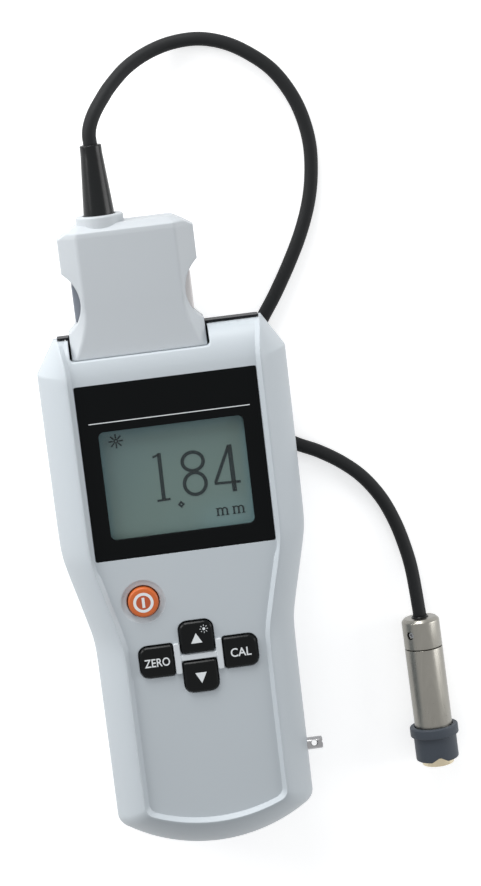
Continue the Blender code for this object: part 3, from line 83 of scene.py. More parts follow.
# %% Sizes of the display, the keys, the plug and the probe
LABEL = dict(width=0.0520, low=0.0144, high=0.0654)
WINDOW = dict(width=0.0416, height=0.0317, y=0.03595, corner=0.0016)
LENS_MARGIN = 0.0009
LCD_TOP = 0.0262
KEY_WIDTH, KEY_HEIGHT, KEY_ROUND, KEY_SMALL_ROUND = 0.0097, 0.0092, 0.0024, 0.0006
KEY_FLANGE, KEY_SLOPE = 0.0005, 0.0006
KEY_TOP, KEY_BASE, KEY_FLANGE_TOP = FACE_Z + 0.0011, 0.0251, 0.0261
KEY_CENTRE_Y, KEY_SIDE_X, KEY_STEP_Y = -0.01705, 0.01225, 0.00595
WEB_PROUD, WEB_WIDTH, WEB_BRIDGE = 0.0007, 0.0018, 0.0017
POWER_X, POWER_Y, POWER_RADIUS, POWER_GAP = -0.0140, 0.0011, 0.0044, 0.00035
POWER_RING, POWER_DISH = 0.0017, 0.0005
PLUG_X, PLUG_HALF, PLUG_LOW_Y, PLUG_TOP_Y = -0.0060, 0.0194, 0.0726, 0.1100
PLUG_BEVEL, PLUG_WALL, CAVITY_TOP = 0.0016, 0.0018, PLUG_TOP_Y - 0.0044
CABLE_X, CABLE_Z = -0.0126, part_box("plug_front_shell")[0].z - GAP / 2
PLUG_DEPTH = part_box("plug_front_shell")[1].z - CABLE_Z
SCALLOP_Y, SCALLOP_CHORD, SCALLOP_DEPTH = 0.0885, 0.0170, 0.0044
CAVITY_HALF = PLUG_HALF - SCALLOP_DEPTH - PLUG_WALL
NOSE_HALF, NOSE_HEIGHT = CAVITY_HALF - 0.0036, 0.0040
TAB_LENGTH, TAB_HEIGHT = 0.0112, 0.0080
COLLAR_RADIUS, COLLAR_TOP = 0.0068, 0.1124
BOOT_LENGTH, BOOT_BASE, BOOT_TIP = 0.0192, 0.00445, 0.0031
CORD_RADIUS = 0.0020
TUBE_RADIUS, TAIL_CHAMFER = 0.0057, 0.0009
SLEEVE_START, SLEEVE_END, SLEEVE_RADIUS = 0.0335, 0.0440, 0.00645
FLANGE_RADIUS, FLANGE_LENGTH = 0.0073, 0.0030
STRAP_RADIUS, STRAP_Y, STRAP_OUT, STRAP_Z = 0.00185, -0.0523, 0.0046, SEAM_Z - GAP / 2
KEYS = {  # centre, and which corners are large: upper right, upper left, lower left, lower right
    "up_key": (0.0, KEY_CENTRE_Y + KEY_STEP_Y, (1, 1, 0, 0)),
    "down_key": (0.0, KEY_CENTRE_Y - KEY_STEP_Y, (0, 0, 1, 1)),
    "zero_key": (-KEY_SIDE_X, KEY_CENTRE_Y, (0, 1, 1, 0)),
    "cal_key": (KEY_SIDE_X, KEY_CENTRE_Y, (1, 0, 0, 1)),
}
print("plug half is", round(PLUG_DEPTH * 1000, 2), "mm deep")

# %% [markdown]
# ## The camera
#
# A photograph fixes the camera: four or more points whose place on the object is known give its
# position, its turn and its lens. Those numbers were found once, by least squares, and are written
# here. The matrix is the product of three plain turns, and its transpose carries the camera's own
# axes back into the object's.

# %% Camera
def turn(axis, degrees):
    return Matrix.Rotation(radians(degrees), 3, axis)


looking = (turn("Z", 7.2821491) @ turn("Y", 3.0519201) @ turn("X", 11.1096436)).transposed()
camera = bpy.data.objects.new("camera", bpy.data.cameras.new("camera"))
camera.data.sensor_width = 36.0
camera.data.lens = 2440 * 36 / 886
camera.matrix_world = Matrix.Translation((-0.0178926, 0.1777935, 0.7112068)) @ looking.to_4x4()
camera.data.clip_start, camera.data.clip_end = 0.05, 20
scene.collection.objects.link(camera)
scene.camera = camera
scene.view_settings.view_transform = "Standard"
print("lens", round(camera.data.lens, 1), "mm, camera", round(camera.location.length, 3), "m away")

# %% [markdown]
# ## Surfaces from arrays
#
# Every new piece is a grid of points: one direction of the grid runs round or along the piece, the
# other carries a profile. numpy works out all points at once, and `foreach_set` hands them to
# Blender, which is hundreds of times faster than a loop over vertices. A form made of several grids
# is put together by adding the grids and merging the points that they share.

# %% Grids and pieces
SHARP = radians(32)                         # edges steeper than this stay sharp


def grid_faces(rows, columns, round_rows=False, round_columns=False):
    """Quads (k, k+1, k+1+columns, k+columns) for each cell, also across the joins asked for."""
    index = np.arange(rows * columns).reshape(rows, columns)
    if round_rows:
        index = np.vstack([index, index[:1]])
    if round_columns:
        index = np.hstack([index, index[:, :1]])
    return np.stack([index[:-1, :-1], index[:-1, 1:], index[1:, 1:], index[1:, :-1]], -1).reshape(-1, 4)


class Form:
    """Points and faces collected from grids and flat patches, then welded into one mesh."""

    def __init__(self):
        self.points, self.faces, self.count = [], [], 0

    def add(self, points, faces):
        points = np.asarray(points, float).reshape(-1, 3)
        self.points.append(points)
        self.faces += (np.asarray(faces) + self.count).tolist()
        self.count += len(points)
        return self

    def grid(self, points, **joins):
        points = np.asarray(points, float)
        return self.add(points, grid_faces(points.shape[0], points.shape[1], **joins))

    def cap(self, ring):
        """One flat face over a ring that is convex."""
        return self.add(ring, [list(range(len(ring)))])

    def mesh(self, name, weld=2e-6):
        mesh = bpy.data.meshes.new(name)
        mesh.from_pydata(np.vstack(self.points).tolist(), [], self.faces)
        shape = bmesh.new()
        shape.from_mesh(mesh)
        bmesh.ops.remove_doubles(shape, verts=shape.verts, dist=weld)
        bmesh.ops.dissolve_degenerate(shape, edges=shape.edges, dist=weld / 4)
        bmesh.ops.recalc_face_normals(shape, faces=shape.faces)
        open_edges = sum(1 for edge in shape.edges if len(edge.link_faces) != 2)
        if open_edges:
            print("   ", name, "has", open_edges, "open edges")
        shape.to_mesh(mesh)
        shape.free()
        mesh.shade_smooth()
        mesh.set_sharp_from_angle(angle=SHARP)
        return mesh

    def piece(self, name, **more):
        thing = bpy.data.objects.new(name, self.mesh(name, **more))
        scene.collection.objects.link(thing)
        return thing


def evaluated_mesh(thing):
    """The thing as a mesh of its own, after its modifiers."""
    return bpy.data.meshes.new_from_object(thing.evaluated_get(bpy.context.evaluated_depsgraph_get()))


def applied(thing):
    """Applies the modifiers, and marks the sharp edges of what they made."""
    thing.data = evaluated_mesh(thing)
    thing.modifiers.clear()
    thing.data.shade_smooth()
    thing.data.set_sharp_from_angle(angle=SHARP)
    return thing


def carve(thing, *tools, operation="DIFFERENCE"):
    """Boolean with each tool in turn, applied, and the tools thrown away."""
    for tool in tools:
        step = thing.modifiers.new(tool.name, "BOOLEAN")
        step.operation, step.object, step.solver = operation, tool, "EXACT"
    bpy.context.view_layer.update()
    applied(thing)
    for tool in tools:
        bpy.data.objects.remove(tool)
    return thing


def paint(thing, material):
    thing.data.materials.clear()
    thing.data.materials.append(material)


def finish_piece(thing, body, material, stands_for=()):
    """Gives a piece its body, its finish, and the solids that it stands for."""
    paint(thing, material)
    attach(thing, body)
    if stands_for:
        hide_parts(*stands_for)
    return thing


print("a grid of 3 by 4 points has", len(grid_faces(3, 4)), "faces")

# %% [markdown]
# ## Turned parts, boxes and rounded outlines
#
# A turned part is a profile of (distance, radius) pairs carried round a line. A bar is an outline
# carried through levels. A rounded outline has the same number of points at every size, so that
# outlines of different sizes join into a smooth skin.

# %% Makers
def axes_along(direction):
    """Two directions square to the given one, as rows, with the direction itself last."""
    turned = Vector((0, 0, 1)).rotation_difference(Vector(direction)).to_matrix()
    return np.array(turned).T


def revolve(profile, start, direction, sides):
    """Point = start + distance * direction + radius * (cos a, sin a) across it."""
    profile = np.asarray(profile, float)
    a = np.linspace(0, 2 * pi, sides, endpoint=False)
    across, over, along = axes_along(direction)
    ring = np.cos(a)[:, None] * across + np.sin(a)[:, None] * over
    return np.asarray(start, float) + profile[:, 0, None, None] * along + profile[:, 1, None, None] * ring


def turned_form(profile, start, direction, sides=96, hollow=False):
    """A closed profile makes a ring. An open one is closed by a flat cap at each end."""
    rings = revolve(profile, start, direction, sides)
    form = Form().grid(rings, round_rows=hollow, round_columns=True)
    return form if hollow else form.cap(rings[0]).cap(rings[-1])


def softened(profile, radius, steps=5):
    """Rounds each inner corner of an open profile with a short arc-like curve of the given reach."""
    points = [np.array(p, float) for p in profile]
    reach = radius if hasattr(radius, "__len__") else [radius] * len(points)
    out = [points[0]]
    for k in range(1, len(points) - 1):
        before, here, after = points[k - 1:k + 2]
        a, b = before - here, after - here
        size = min(reach[k], 0.49 * np.linalg.norm(a), 0.49 * np.linalg.norm(b))
        if size < 1e-7:
            out.append(here)
            continue
        p, q = here + a / np.linalg.norm(a) * size, here + b / np.linalg.norm(b) * size
        for t in np.linspace(0, 1, steps):
            out.append((1 - t) ** 2 * p + 2 * t * (1 - t) * here + t * t * q)
    out.append(points[-1])
    return np.array(out)


def rounded_outline(x, y, width, height, radii, steps=8):
    """Corners in the order upper right, upper left, lower left, lower right."""
    radii = np.broadcast_to(radii, 4)
    turns = np.linspace(0, pi / 2, steps + 1)
    points = []
    for quarter, (sx, sy, radius) in enumerate(zip((1, -1, -1, 1), (1, 1, -1, -1), radii)):
        a = quarter * pi / 2 + turns
        centre = (x + sx * (width / 2 - radius), y + sy * (height / 2 - radius))
        points.append(np.stack([centre[0] + radius * np.cos(a), centre[1] + radius * np.sin(a)], 1))
    return np.vstack(points)


def key_outline(name, margin):
    x, y, large = KEYS[name]
    radii = [max((KEY_ROUND if wide else KEY_SMALL_ROUND) + margin, 0.00012) for wide in large]
    return rounded_outline(x, y, KEY_WIDTH + 2 * margin, KEY_HEIGHT + 2 * margin, radii)


def lifted(outline_xy, z):
    return np.column_stack([outline_xy, np.full(len(outline_xy), z)])


def bar(name, rings):
    """A closed form from rings, with flat ends."""
    rings = np.asarray(rings, float)
    return Form().grid(rings, round_columns=True).cap(rings[0]).cap(rings[-1]).piece(name)


def block(name, low, high):
    outline_xy = np.array([(low[0], low[1]), (high[0], low[1]), (high[0], high[1]), (low[0], high[1])])
    return bar(name, [lifted(outline_xy, z) for z in (low[2], high[2])])


def merged(name, things):
    form = Form()
    for thing in things:
        place = np.zeros(len(thing.data.vertices) * 3)
        thing.data.vertices.foreach_get("co", place)
        form.points.append(place.reshape(-1, 3))
        form.faces += [[v + form.count for v in face.vertices] for face in thing.data.polygons]
        form.count += len(thing.data.vertices)
        bpy.data.objects.remove(thing)
    return form.piece(name, weld=1e-9)


def patch(loops, loose=()):
    """Triangles of a flat region: the first loop is its edge, the others are holes in it."""
    points = [Vector(p) for loop in [*loops, loose] for p in loop]
    edges, first = [], 0
    for loop in loops:
        index = np.arange(len(loop)) + first
        edges += np.stack([index, np.roll(index, -1)], 1).tolist()
        first += len(loop)
    rim = list(range(len(loops[0])))
    found = delaunay_2d_cdt(points, edges, [rim], 1, 1e-8)
    places = np.array([tuple(p) for p in found[0]])
    faces = np.array([f for f in found[2] if len(f) == 3])
    middle = places[faces].mean(1)
    keep = np.ones(len(faces), bool)
    for loop in loops[1:]:
        keep &= ~inside(middle, np.asarray(loop))
    return places, faces[keep]


def inside(points, loop):
    """True where a line to the right crosses the loop an odd number of times."""
    a, b = loop, np.roll(loop, -1, 0)
    x, y = points[:, 0, None], points[:, 1, None]
    crosses = (a[:, 1] > y) != (b[:, 1] > y)
    with np.errstate(divide="ignore", invalid="ignore"):
        at = a[:, 0] + (y - a[:, 1]) * (b[:, 0] - a[:, 0]) / (b[:, 1] - a[:, 1])
    return (crosses & (x < at)).sum(1) % 2 == 1


print("makers ready")

# %% [markdown]
# ## Finishes
#
# A finish is a small tree of shader nodes. To write the tree as arithmetic, the class below wraps a
# socket: adding or multiplying two of them adds a Math node. One method makes every other node from
# its type, its settings and its inputs. Patterns read Object coordinates, which are metres here, so
# a noise of scale 4000 has grains a quarter of a millimetre wide.

# %% Shader arithmetic
class Value:
    """A socket of a shader that can be used in sums."""

    def __init__(self, finish, socket):
        self.finish, self.socket = finish, socket

    def maths(self, operation, *others):
        return self.finish.node("ShaderNodeMath", {"operation": operation}, dict(enumerate([self, *others])))

    def __add__(self, other):
        return self.maths("ADD", other)

    __radd__ = __add__

    def __sub__(self, other):
        return self.maths("SUBTRACT", other)

    def __mul__(self, other):
        return self.maths("MULTIPLY", other)

    def clamped(self):
        return self.finish.node("ShaderNodeClamp", {}, {0: self})


class Finish:
    """One material. Its node method makes a node and gives back one of its outputs as a Value."""

    def __init__(self, name):
        self.material = bpy.data.materials.new(name)
        self.material.use_nodes = True
        self.tree = self.material.node_tree
        self.shader = self.tree.nodes["Principled BSDF"]
        self.place = self.node("ShaderNodeTexCoord", {}, {}, "Object")

    def node(self, kind, settings, inputs, output=0):
        made = self.tree.nodes.new(kind)
        for key, value in settings.items():
            setattr(made, key, value)
        for key, value in inputs.items():
            self.feed(made.inputs[key], value)
        return Value(self, made.outputs[output])

    def feed(self, socket, value):
        """Links a Value to the socket, or writes the number, vector or colour that it is."""
        if isinstance(value, Value):
            self.tree.links.new(value.socket, socket)
        else:
            socket.default_value = (*value, 1) if socket.type == "RGBA" else value

    def noise(self, scale, detail=2.0, rough=0.5, place=None):
        return self.node("ShaderNodeTexNoise", {}, {"Vector": place or self.place, "Scale": scale,
                                                    "Detail": detail, "Roughness": rough})

    def away_from(self, point):
        """The place, as seen from another origin."""
        return self.node("ShaderNodeVectorMath", {"operation": "SUBTRACT"}, {0: self.place, 1: tuple(point)})

    def mix(self, factor, a, b):
        """A colour between two colours."""
        return self.node("ShaderNodeMix", {"data_type": "RGBA"}, {0: factor, 6: a, 7: b}, 2)

    def ramp(self, value, low, high):
        """0 below low, 1 above high, smooth between."""
        return self.node("ShaderNodeMapRange", {"interpolation_type": "SMOOTHSTEP"},
                         {0: value, 1: low, 2: high, 3: 0.0, 4: 1.0})

    def bump(self, height, distance):
        self.set(Normal=self.node("ShaderNodeBump", {}, {"Height": height, "Distance": distance, "Strength": 1.0}))

    def set(self, **sockets):
        for key, value in sockets.items():
            self.feed(self.shader.inputs[key.replace("_", " ")], value)
        return self


def colour(red, green, blue):
    """Screen numbers from 0 to 255 as the light that they stand for."""
    c = np.array([red, green, blue]) / 255
    return tuple(np.where(c <= 0.04045, c / 12.92, ((c + 0.055) / 1.055) ** 2.4).tolist())


def moulded(name, shade, roughness, grain=0.000012, size=2600, shine=0.5, tone=0.05):
    """Moulded plastic: a fine spark-eroded grain, and a tone that drifts a little over the part."""
    f = Finish(name)
    drift = f.noise(38, 2.0)
    grains = f.noise(size, 2.0, 0.6)
    darker = tuple(c * (1 - tone) for c in shade)
    lighter = tuple(min(1.0, c * (1 + tone)) for c in shade)
    f.set(Base_Color=f.mix(drift, darker, lighter), Roughness=roughness + (grains - 0.5) * 0.06,
          Specular_IOR_Level=shine)
    f.bump(grains, grain)
    return f.material


print("a middle grey is", [round(c, 3) for c in colour(170, 176, 184)])

# %% [markdown]
# The satin grey paint of the case, the blacks of keys, label and boot, and the two metals differ in
# only a few numbers. Metals get fine turning lines: a noise stretched along the part's own axis,
# through a Mapping node that turns the pattern into the part's direction.

# %% Plastics and rubbers
shell_grey = moulded("satin_grey_plastic", colour(186, 193, 198), 0.42, shine=0.35, tone=0.015)
plug_grey = moulded("plug_grey_plastic", colour(184, 189, 193), 0.44, shine=0.35, tone=0.015)
# The web is the shell's own plastic; its lighter grey is painted light for the highlights on its rounded edges.
web_grey_painted_light = moulded("web_grey_painted_light_plastic", colour(207, 212, 216), 0.40, shine=0.35, tone=0.01)
key_black = moulded("key_black", colour(12, 14, 15), 0.26, 0.000006, shine=0.14, tone=0.15)
label_black = moulded("label_black", colour(12, 14, 15), 0.32, 0.000004, 1500, shine=0.06, tone=0.10)
panel_black = moulded("panel_black", colour(20, 22, 26), 0.42, shine=0.15, tone=0.10)
boot_black = moulded("boot_rubber", colour(16, 18, 19), 0.26, 0.000010, 900, shine=0.25, tone=0.2)
cord_black = moulded("cord_jacket", colour(32, 33, 34), 0.58, 0.000020, 1800, shine=0.15, tone=0.15)
sleeve_rubber = moulded("sleeve_rubber", colour(66, 72, 80), 0.50, 0.000018, 1500, shine=0.25, tone=0.12)
mat_rubber = moulded("mat_rubber", colour(60, 62, 64), 0.6, tone=0.1)
white_print = moulded("white_print", colour(222, 226, 228), 0.5, grain=0.000002, tone=0.03)
lcd_ink = moulded("lcd_ink", colour(22, 33, 35), 0.4, grain=0.000001, shine=0.05, tone=0.05)
connector_black = moulded("connector_black", colour(28, 28, 30), 0.45, shine=0.2, tone=0.1)
print(len(bpy.data.materials), "plastics and rubbers")

# %% Power key's orange, a little deeper inside its printed ring
orange = Finish("power_orange")
from_centre = orange.node("ShaderNodeVectorMath", {"operation": "LENGTH"},
                          {0: orange.away_from((POWER_X, POWER_Y, KEY_TOP))}, "Value")
past_ring = orange.ramp(from_centre, 0.0020, 0.0024)
orange.set(Base_Color=orange.mix(past_ring, colour(180, 80, 40), colour(198, 97, 40)), Roughness=0.40)
orange.bump(orange.noise(2600, 2.0, 0.6), 0.000006)
power_orange = orange.material
print("orange inside the ring is", [round(c, 3) for c in colour(180, 80, 40)])

# %% Metals
def machined(name, shade, roughness, start, direction):
    """Turned metal: tone and height from a noise that is long round the part and short along it."""
    f = Finish(name)
    turned = Vector(direction).rotation_difference(Vector((0, 0, 1))).to_euler()
    local = f.node("ShaderNodeMapping", {}, {"Vector": f.away_from(start), "Rotation": turned,
                                             "Scale": (60, 60, 3000)})
    streaks = f.noise(1.0, 3.0, 0.7, local)
    cloud = f.noise(220, 3.0)
    f.set(Base_Color=f.mix(streaks, tuple(c * 0.86 for c in shade), tuple(min(1, c * 1.1) for c in shade)),
          Roughness=roughness + (streaks - 0.5) * 0.14 + (cloud - 0.5) * 0.10, Metallic=1.0)
    f.bump(streaks, 0.000004)
    return f.material


lean = atan2(FLANGE_RADIUS - TUBE_RADIUS, SLEEVE_START - TAIL_CHAMFER)
probe_start = np.array([0.0680, -0.0206, TUBE_RADIUS * cos(lean) - TAIL_CHAMFER * sin(lean)])
probe_axis = np.array([sin(radians(1)) * cos(lean), -cos(radians(1)) * cos(lean), sin(lean)])
nickel = machined("brushed_nickel", (0.30, 0.29, 0.262), 0.30, probe_start, probe_axis)
tip_gold = machined("pale_gold_tip", (0.66, 0.58, 0.42), 0.24, probe_start, probe_axis)
chrome = machined("bright_chrome", (0.38, 0.38, 0.39), 0.18, (0, 0, 0), (1, 0, 0))
screw_steel = machined("screw_steel", (0.55, 0.55, 0.56), 0.28, (0, 0, 0), (0, 0, 1))
spring_steel = machined("spring_steel", (0.60, 0.60, 0.60), 0.25, (0, 0, 0), (0, 1, 0))
print("probe starts at", probe_start.round(5), "and points along", probe_axis.round(4))

# %% [markdown]
# ## The cord and its boot
#
# The cord is a curve with a round section, which is how a real one is made: a jacket drawn over
# wires, the same everywhere. It leaves the boot, comes down on the table, runs once round under the
# raised head and reaches the probe. The route is given as a list of points, and a cubic curve goes
# through every point of it.

# %% Cord
CORD_ROUTE = np.array([
    (-0.0119, 0.1378, 0.0177), (-0.0103, 0.1409, 0.0166), (-0.0079, 0.1441, 0.0145), (-0.0048, 0.1476, 0.0116),
    (0.0004, 0.1520, 0.0080), (0.0068, 0.1553, 0.0049), (0.0142, 0.1573, 0.0028),
    (0.0222, 0.1575, 0.0021), (0.0297, 0.1554, 0.0020), (0.0363, 0.1515, 0.0020),
    (0.0421, 0.1464, 0.0020), (0.0465, 0.1397, 0.0020), (0.0493, 0.1325, 0.0020),
    (0.0507, 0.1240, 0.0020), (0.0502, 0.1150, 0.0020), (0.0484, 0.1067, 0.0020),
    (0.0451, 0.0981, 0.0020), (0.0408, 0.0898, 0.0020), (0.0358, 0.0814, 0.0020),
    (0.0312, 0.0746, 0.0020), (0.0274, 0.0682, 0.0020), (0.0250, 0.0608, 0.0020),
    (0.0247, 0.0530, 0.0020), (0.0268, 0.0459, 0.0020), (0.0312, 0.0403, 0.0020),
    (0.0368, 0.0364, 0.0020), (0.0435, 0.0331, 0.0020), (0.0502, 0.0287, 0.0020),
    (0.0559, 0.0234, 0.0020), (0.0607, 0.0164, 0.0020), (0.0640, 0.0086, 0.0021),
    (0.0661, 0.0008, 0.0026), (0.0673, -0.0066, 0.0037)])


def curve_through(points, per_piece=8):
    """A smooth curve through all the points. Each piece is half of 2b + (c-a)t + (2a-5b+4c-d)t^2 + (3b-a-3c+d)t^3."""
    p = np.vstack([2 * points[0] - points[1], points, 2 * points[-1] - points[-2]])
    a, b, c, d = (p[k:len(p) - 3 + k, None, :] for k in range(4))
    t = np.linspace(0, 1, per_piece, endpoint=False)[None, :, None]
    curve = 0.5 * (2 * b + (c - a) * t + (2 * a - 5 * b + 4 * c - d) * t ** 2 + (3 * b - a - 3 * c + d) * t ** 3)
    return np.vstack([curve.reshape(-1, p.shape[1]), points[-1:]])


boot_end = COLLAR_TOP + BOOT_LENGTH
from_boot = [(CABLE_X, boot_end + ahead, CABLE_Z) for ahead in (GAP, 0.18 * BOOT_LENGTH)]
into_probe = [probe_start - probe_axis * behind for behind in (GAP + 0.4 * TUBE_RADIUS, GAP)]
route = np.vstack([from_boot, CORD_ROUTE, into_probe])
cord_line = curve_through(route)
cord_length = float(np.linalg.norm(np.diff(cord_line, axis=0), axis=1).sum())
curve = bpy.data.curves.new("cord", "CURVE")
curve.dimensions, curve.use_fill_caps = "3D", True
curve.bevel_depth, curve.bevel_resolution = CORD_RADIUS, 8
spline = curve.splines.new("POLY")
spline.points.add(len(cord_line) - 1)
spline.points.foreach_set("co", np.column_stack([cord_line, np.ones(len(cord_line))]).ravel())
cord = bpy.data.objects.new("cord", curve)
scene.collection.objects.link(cord)
finish_piece(cord, "probe_plug", cord_black, ["probe_cord"])
print("cord is", round(cord_length * 1000, 1), "mm long, over", len(cord_line), "points")

# %% Boot
flange_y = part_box("strain_relief")[0].y
lip = boot_end + 0.0006
BOOT_FLANGE, MOUTH = 0.0056, CORD_RADIUS + 0.00035
boot_profile = softened([(flange_y, 0.0004), (flange_y, BOOT_FLANGE), (flange_y + 0.0016, BOOT_FLANGE),
                         (flange_y + 0.0016, BOOT_BASE), (COLLAR_TOP, BOOT_BASE), (lip - 0.0022, BOOT_TIP),
                         (lip, BOOT_TIP), (lip, MOUTH), (boot_end + 0.0002, MOUTH), (boot_end + 0.0002, 0.0004)],
                        [0, 0, 0, 0, 0.002, 0.001, 0.0007, 0.0003, 0, 0], 8)
boot = turned_form(boot_profile, (CABLE_X, 0, CABLE_Z), (0, 1, 0)).piece("cord_boot")
finish_piece(boot, "probe_plug", boot_black, ["strain_relief"])
print("boot is", round((lip - COLLAR_TOP) * 1000, 1), "mm long outside the collar")

# %% [markdown]
# ## The outline of the case
#
# Seen from above the case is a waisted bar: a wide head, a soft step to the narrow grip, a gently
# curved end with small corner fillets, and chamfered top corners. A soft step is the difference of
# two square roots, which turns smoothly at both ends. Every line on the shoulder lies between the
# widest line (share 0) and the crest of the rim (share 1), so the whole shoulder is one function of
# two parameters: the row along the side, and the share.

# %% Outline functions
def soft_step(t, softness):
    """Half of (sqrt(t^2+s^2) - sqrt((1-t)^2+s^2) + 1): 0 before the step, 1 after it."""
    return 0.5 * (np.sqrt(t * t + softness ** 2) - np.sqrt((1 - t) ** 2 + softness ** 2) + 1)


def body_half(y, head, grip):
    return grip + (head - grip) * soft_step((y - WAIST_LOW_Y) / (WAIST_HIGH_Y - WAIST_LOW_Y), WAIST_SOFTNESS)


def widest(y):
    chamfer = TOP_WIDTH / 2 + (TOP_Y - y) * (HEAD_WIDTH - TOP_WIDTH) / 2 / CHAMFER_LENGTH
    return np.minimum(body_half(y, HEAD_WIDTH / 2, GRIP_WIDTH / 2), chamfer)


def crest(y):
    flare = np.clip((y - TOP_Y + CHAMFER_LENGTH) / CHAMFER_LENGTH, 0, 1) ** 1.5
    return (body_half(y, HEAD_WIDTH / 2 - RIM_SHOULDER, GRIP_WIDTH / 2 - RIM_SHOULDER)
            + flare * (TOP_WIDTH / 2 - RIM_TOP - HEAD_WIDTH / 2 + RIM_SHOULDER))


roll_rows = ROLL_Y + ROLL_LENGTH * np.sin(np.linspace(pi / 2, 0, 26))
rows = np.concatenate([roll_rows, [TOP_Y - CHAMFER_LENGTH], np.arange(ROLL_Y - 0.0010, -0.0580, -0.0012)])
rows = np.unique(rows.round(7))[::-1]
EXTRA, FILLET, ARC = 5, 12, 22


def half_plan(share, inset=0.0, end=0.0):
    """Right half of the plan, from the top edge to the middle of the end, for each share and inset."""
    wanted = np.broadcast_arrays(*map(np.atleast_1d, (share, inset, end)))
    share, inset, end = (v.reshape(-1, 1) for v in wanted)
    low = BOTTOM_Y + share * RIM_BOTTOM + inset
    corner = (1 - share) * CORNER_RADIUS + share * INNER_CORNER
    half = (1 - share) * widest(rows[-1]) + share * crest(rows[-1]) - inset
    fillet_y = low + BOTTOM_RADIUS - np.sqrt((BOTTOM_RADIUS - corner) ** 2 - (half - corner) ** 2)
    extra = rows[-1] + (fillet_y - rows[-1]) * np.arange(1, EXTRA) / EXTRA
    y = np.hstack([rows - end * np.clip((rows - RAMP_HIGH_Y) / (TOP_Y - RAMP_HIGH_Y), 0, 1), extra])
    x = (1 - share) * widest(y) + share * crest(y) - inset
    x[:, len(rows):] = half
    swing = np.arctan2(fillet_y - low - BOTTOM_RADIUS, half - corner)
    f = swing * np.linspace(0, 1, FILLET)
    a = swing + (-pi / 2 - swing) * np.linspace(0, 1, ARC)[1:]
    a[:, -1] = -pi / 2
    x = np.hstack([x, half - corner + corner * np.cos(f), BOTTOM_RADIUS * np.cos(a)])
    y = np.hstack([y, fillet_y + corner * np.sin(f), low + BOTTOM_RADIUS + BOTTOM_RADIUS * np.sin(a)])
    x[:, -1] = 0
    return x, y


def roll(y):
    """How far the rolled top has dropped at y: a quarter of an ellipse."""
    t = np.clip((y - ROLL_Y) / ROLL_LENGTH, 0, 1)
    return ROLL_DROP * (1 - np.sqrt(1 - t * t))


row_drop = np.concatenate([roll(rows), np.zeros(EXTRA - 1 + FILLET + ARC - 1)])


def both_sides(right):
    """Lines that run down the right side, and on up the left side as its mirror image."""
    return np.concatenate([right, (right * (-1, 1, 1))[:, -2::-1]], 1)


def strip(share, z, inset=0.0, end=0.0):
    """Rows of the front from the right top corner, round the end, to the left top corner."""
    x, y = half_plan(share, inset, end)
    z = np.broadcast_to(np.asarray(z, float).reshape(-1, 1), x.shape)
    z = z - row_drop * (z - SEAM_Z) / (CASE_TOP_Z - SEAM_Z)
    return both_sides(np.stack([x, y, z], -1))


print(len(row_drop), "rows down each side")

# %% [markdown]
# ## Front shell
#
# This is the moulding that takes the most skill, so it is made in parts that fit each other exactly.
# The shoulder, the rim's crest and the slope inside it are one strip. The face that it encloses is
# flat, apart from the roll at the top, and has holes: each hole gets a small rounded edge, and the
# flat rest is filled with triangles whose corners lie on those edges. A short flat margin round
# each rounded edge keeps the shading of the big triangles flat.

# %% The strip from seam to face
degrees = np.radians(np.concatenate([[0], np.linspace(6, 84, 22)]))
power = 2 / SHOULDER_FULLNESS
base = SEAM_Z + SIDE_LAND
share = np.concatenate([[0.0], 1 - np.cos(degrees) ** power])
height = np.concatenate([[SEAM_Z], base + np.sin(degrees) ** power * (CASE_TOP_Z - base)])
FLAT_TOP, FOOT = 0.00015, 0.00144           # insets where the rim's flat top and its inner foot end
over_crest = softened([(-0.00005, CASE_TOP_Z), (FLAT_TOP, CASE_TOP_Z), (RIM_BEVEL, FACE_Z), (0.00141, FACE_Z)],
                      [0, 0.00030, 0.00018, 0], 7)
over_crest = np.vstack([over_crest[1:], [(FOOT, FACE_Z)]])
share = np.concatenate([share, np.ones(len(over_crest))])
height = np.concatenate([height, over_crest[:, 1]])
inset = np.concatenate([np.zeros(len(share) - len(over_crest)), over_crest[:, 0]])
skin = strip(share, height, inset)

# The label is wider than the face beside its lower end, so the rim's foot gives way to it there.
short = LABEL["width"] / 2 + 0.00025 - np.abs(skin[-1, :, 0])
fade = np.clip((skin[-1, :, 1] - 0.0090) / 0.0048, 0, 1)
down_slope = np.clip((inset - FLAT_TOP) / (FOOT - FLAT_TOP), 0, 1)[:, None]
skin[..., 0] += np.sign(skin[..., 0]) * down_slope * (np.maximum(short, 0) * fade * fade * (3 - 2 * fade))
front = Form().grid(skin)
face_edge = skin[-1]
print("strip has", skin.shape[0], "lines of", skin.shape[1], "points")

# %% The rolled top with its notch
NOTCH = dict(half=PLUG_HALF + 2 * GAP, low=PLUG_LOW_Y - GAP / 4, corner=0.0010)
LINER = 0.0009                              # wall thickness of the well's lining
WIDE_HALF, WIDE_LOW_Y, LINER_TOP = NOTCH["half"] + LINER, 0.0711, FACE_Z - ROLL_DROP + GAP
EDGE = 0.00035                              # rounding along the notch
flat_row = int(np.argmin(abs(rows - ROLL_Y)))
corner_y = NOTCH["low"] + NOTCH["corner"]
side_y = rows[rows > corner_y + 0.0001]


def notch_line(margin):
    """The notch's outline, widened by a margin, from the right end of the top edge to the left one."""
    half, radius = NOTCH["half"] + margin, NOTCH["corner"] + margin
    centre = NOTCH["half"] - NOTCH["corner"]
    a = np.linspace(0, -pi / 2, 9)
    arc = np.column_stack([centre + radius * np.cos(a), corner_y + radius * np.sin(a)])
    down = np.column_stack([np.full(len(side_y), half), side_y])
    along = np.column_stack([np.linspace(centre, 0, 12)[1:], np.full(11, NOTCH["low"] - margin)])
    right = np.vstack([down, arc, along])
    return np.vstack([right, (right * (-1, 1))[-2::-1]]) + (PLUG_X, 0)


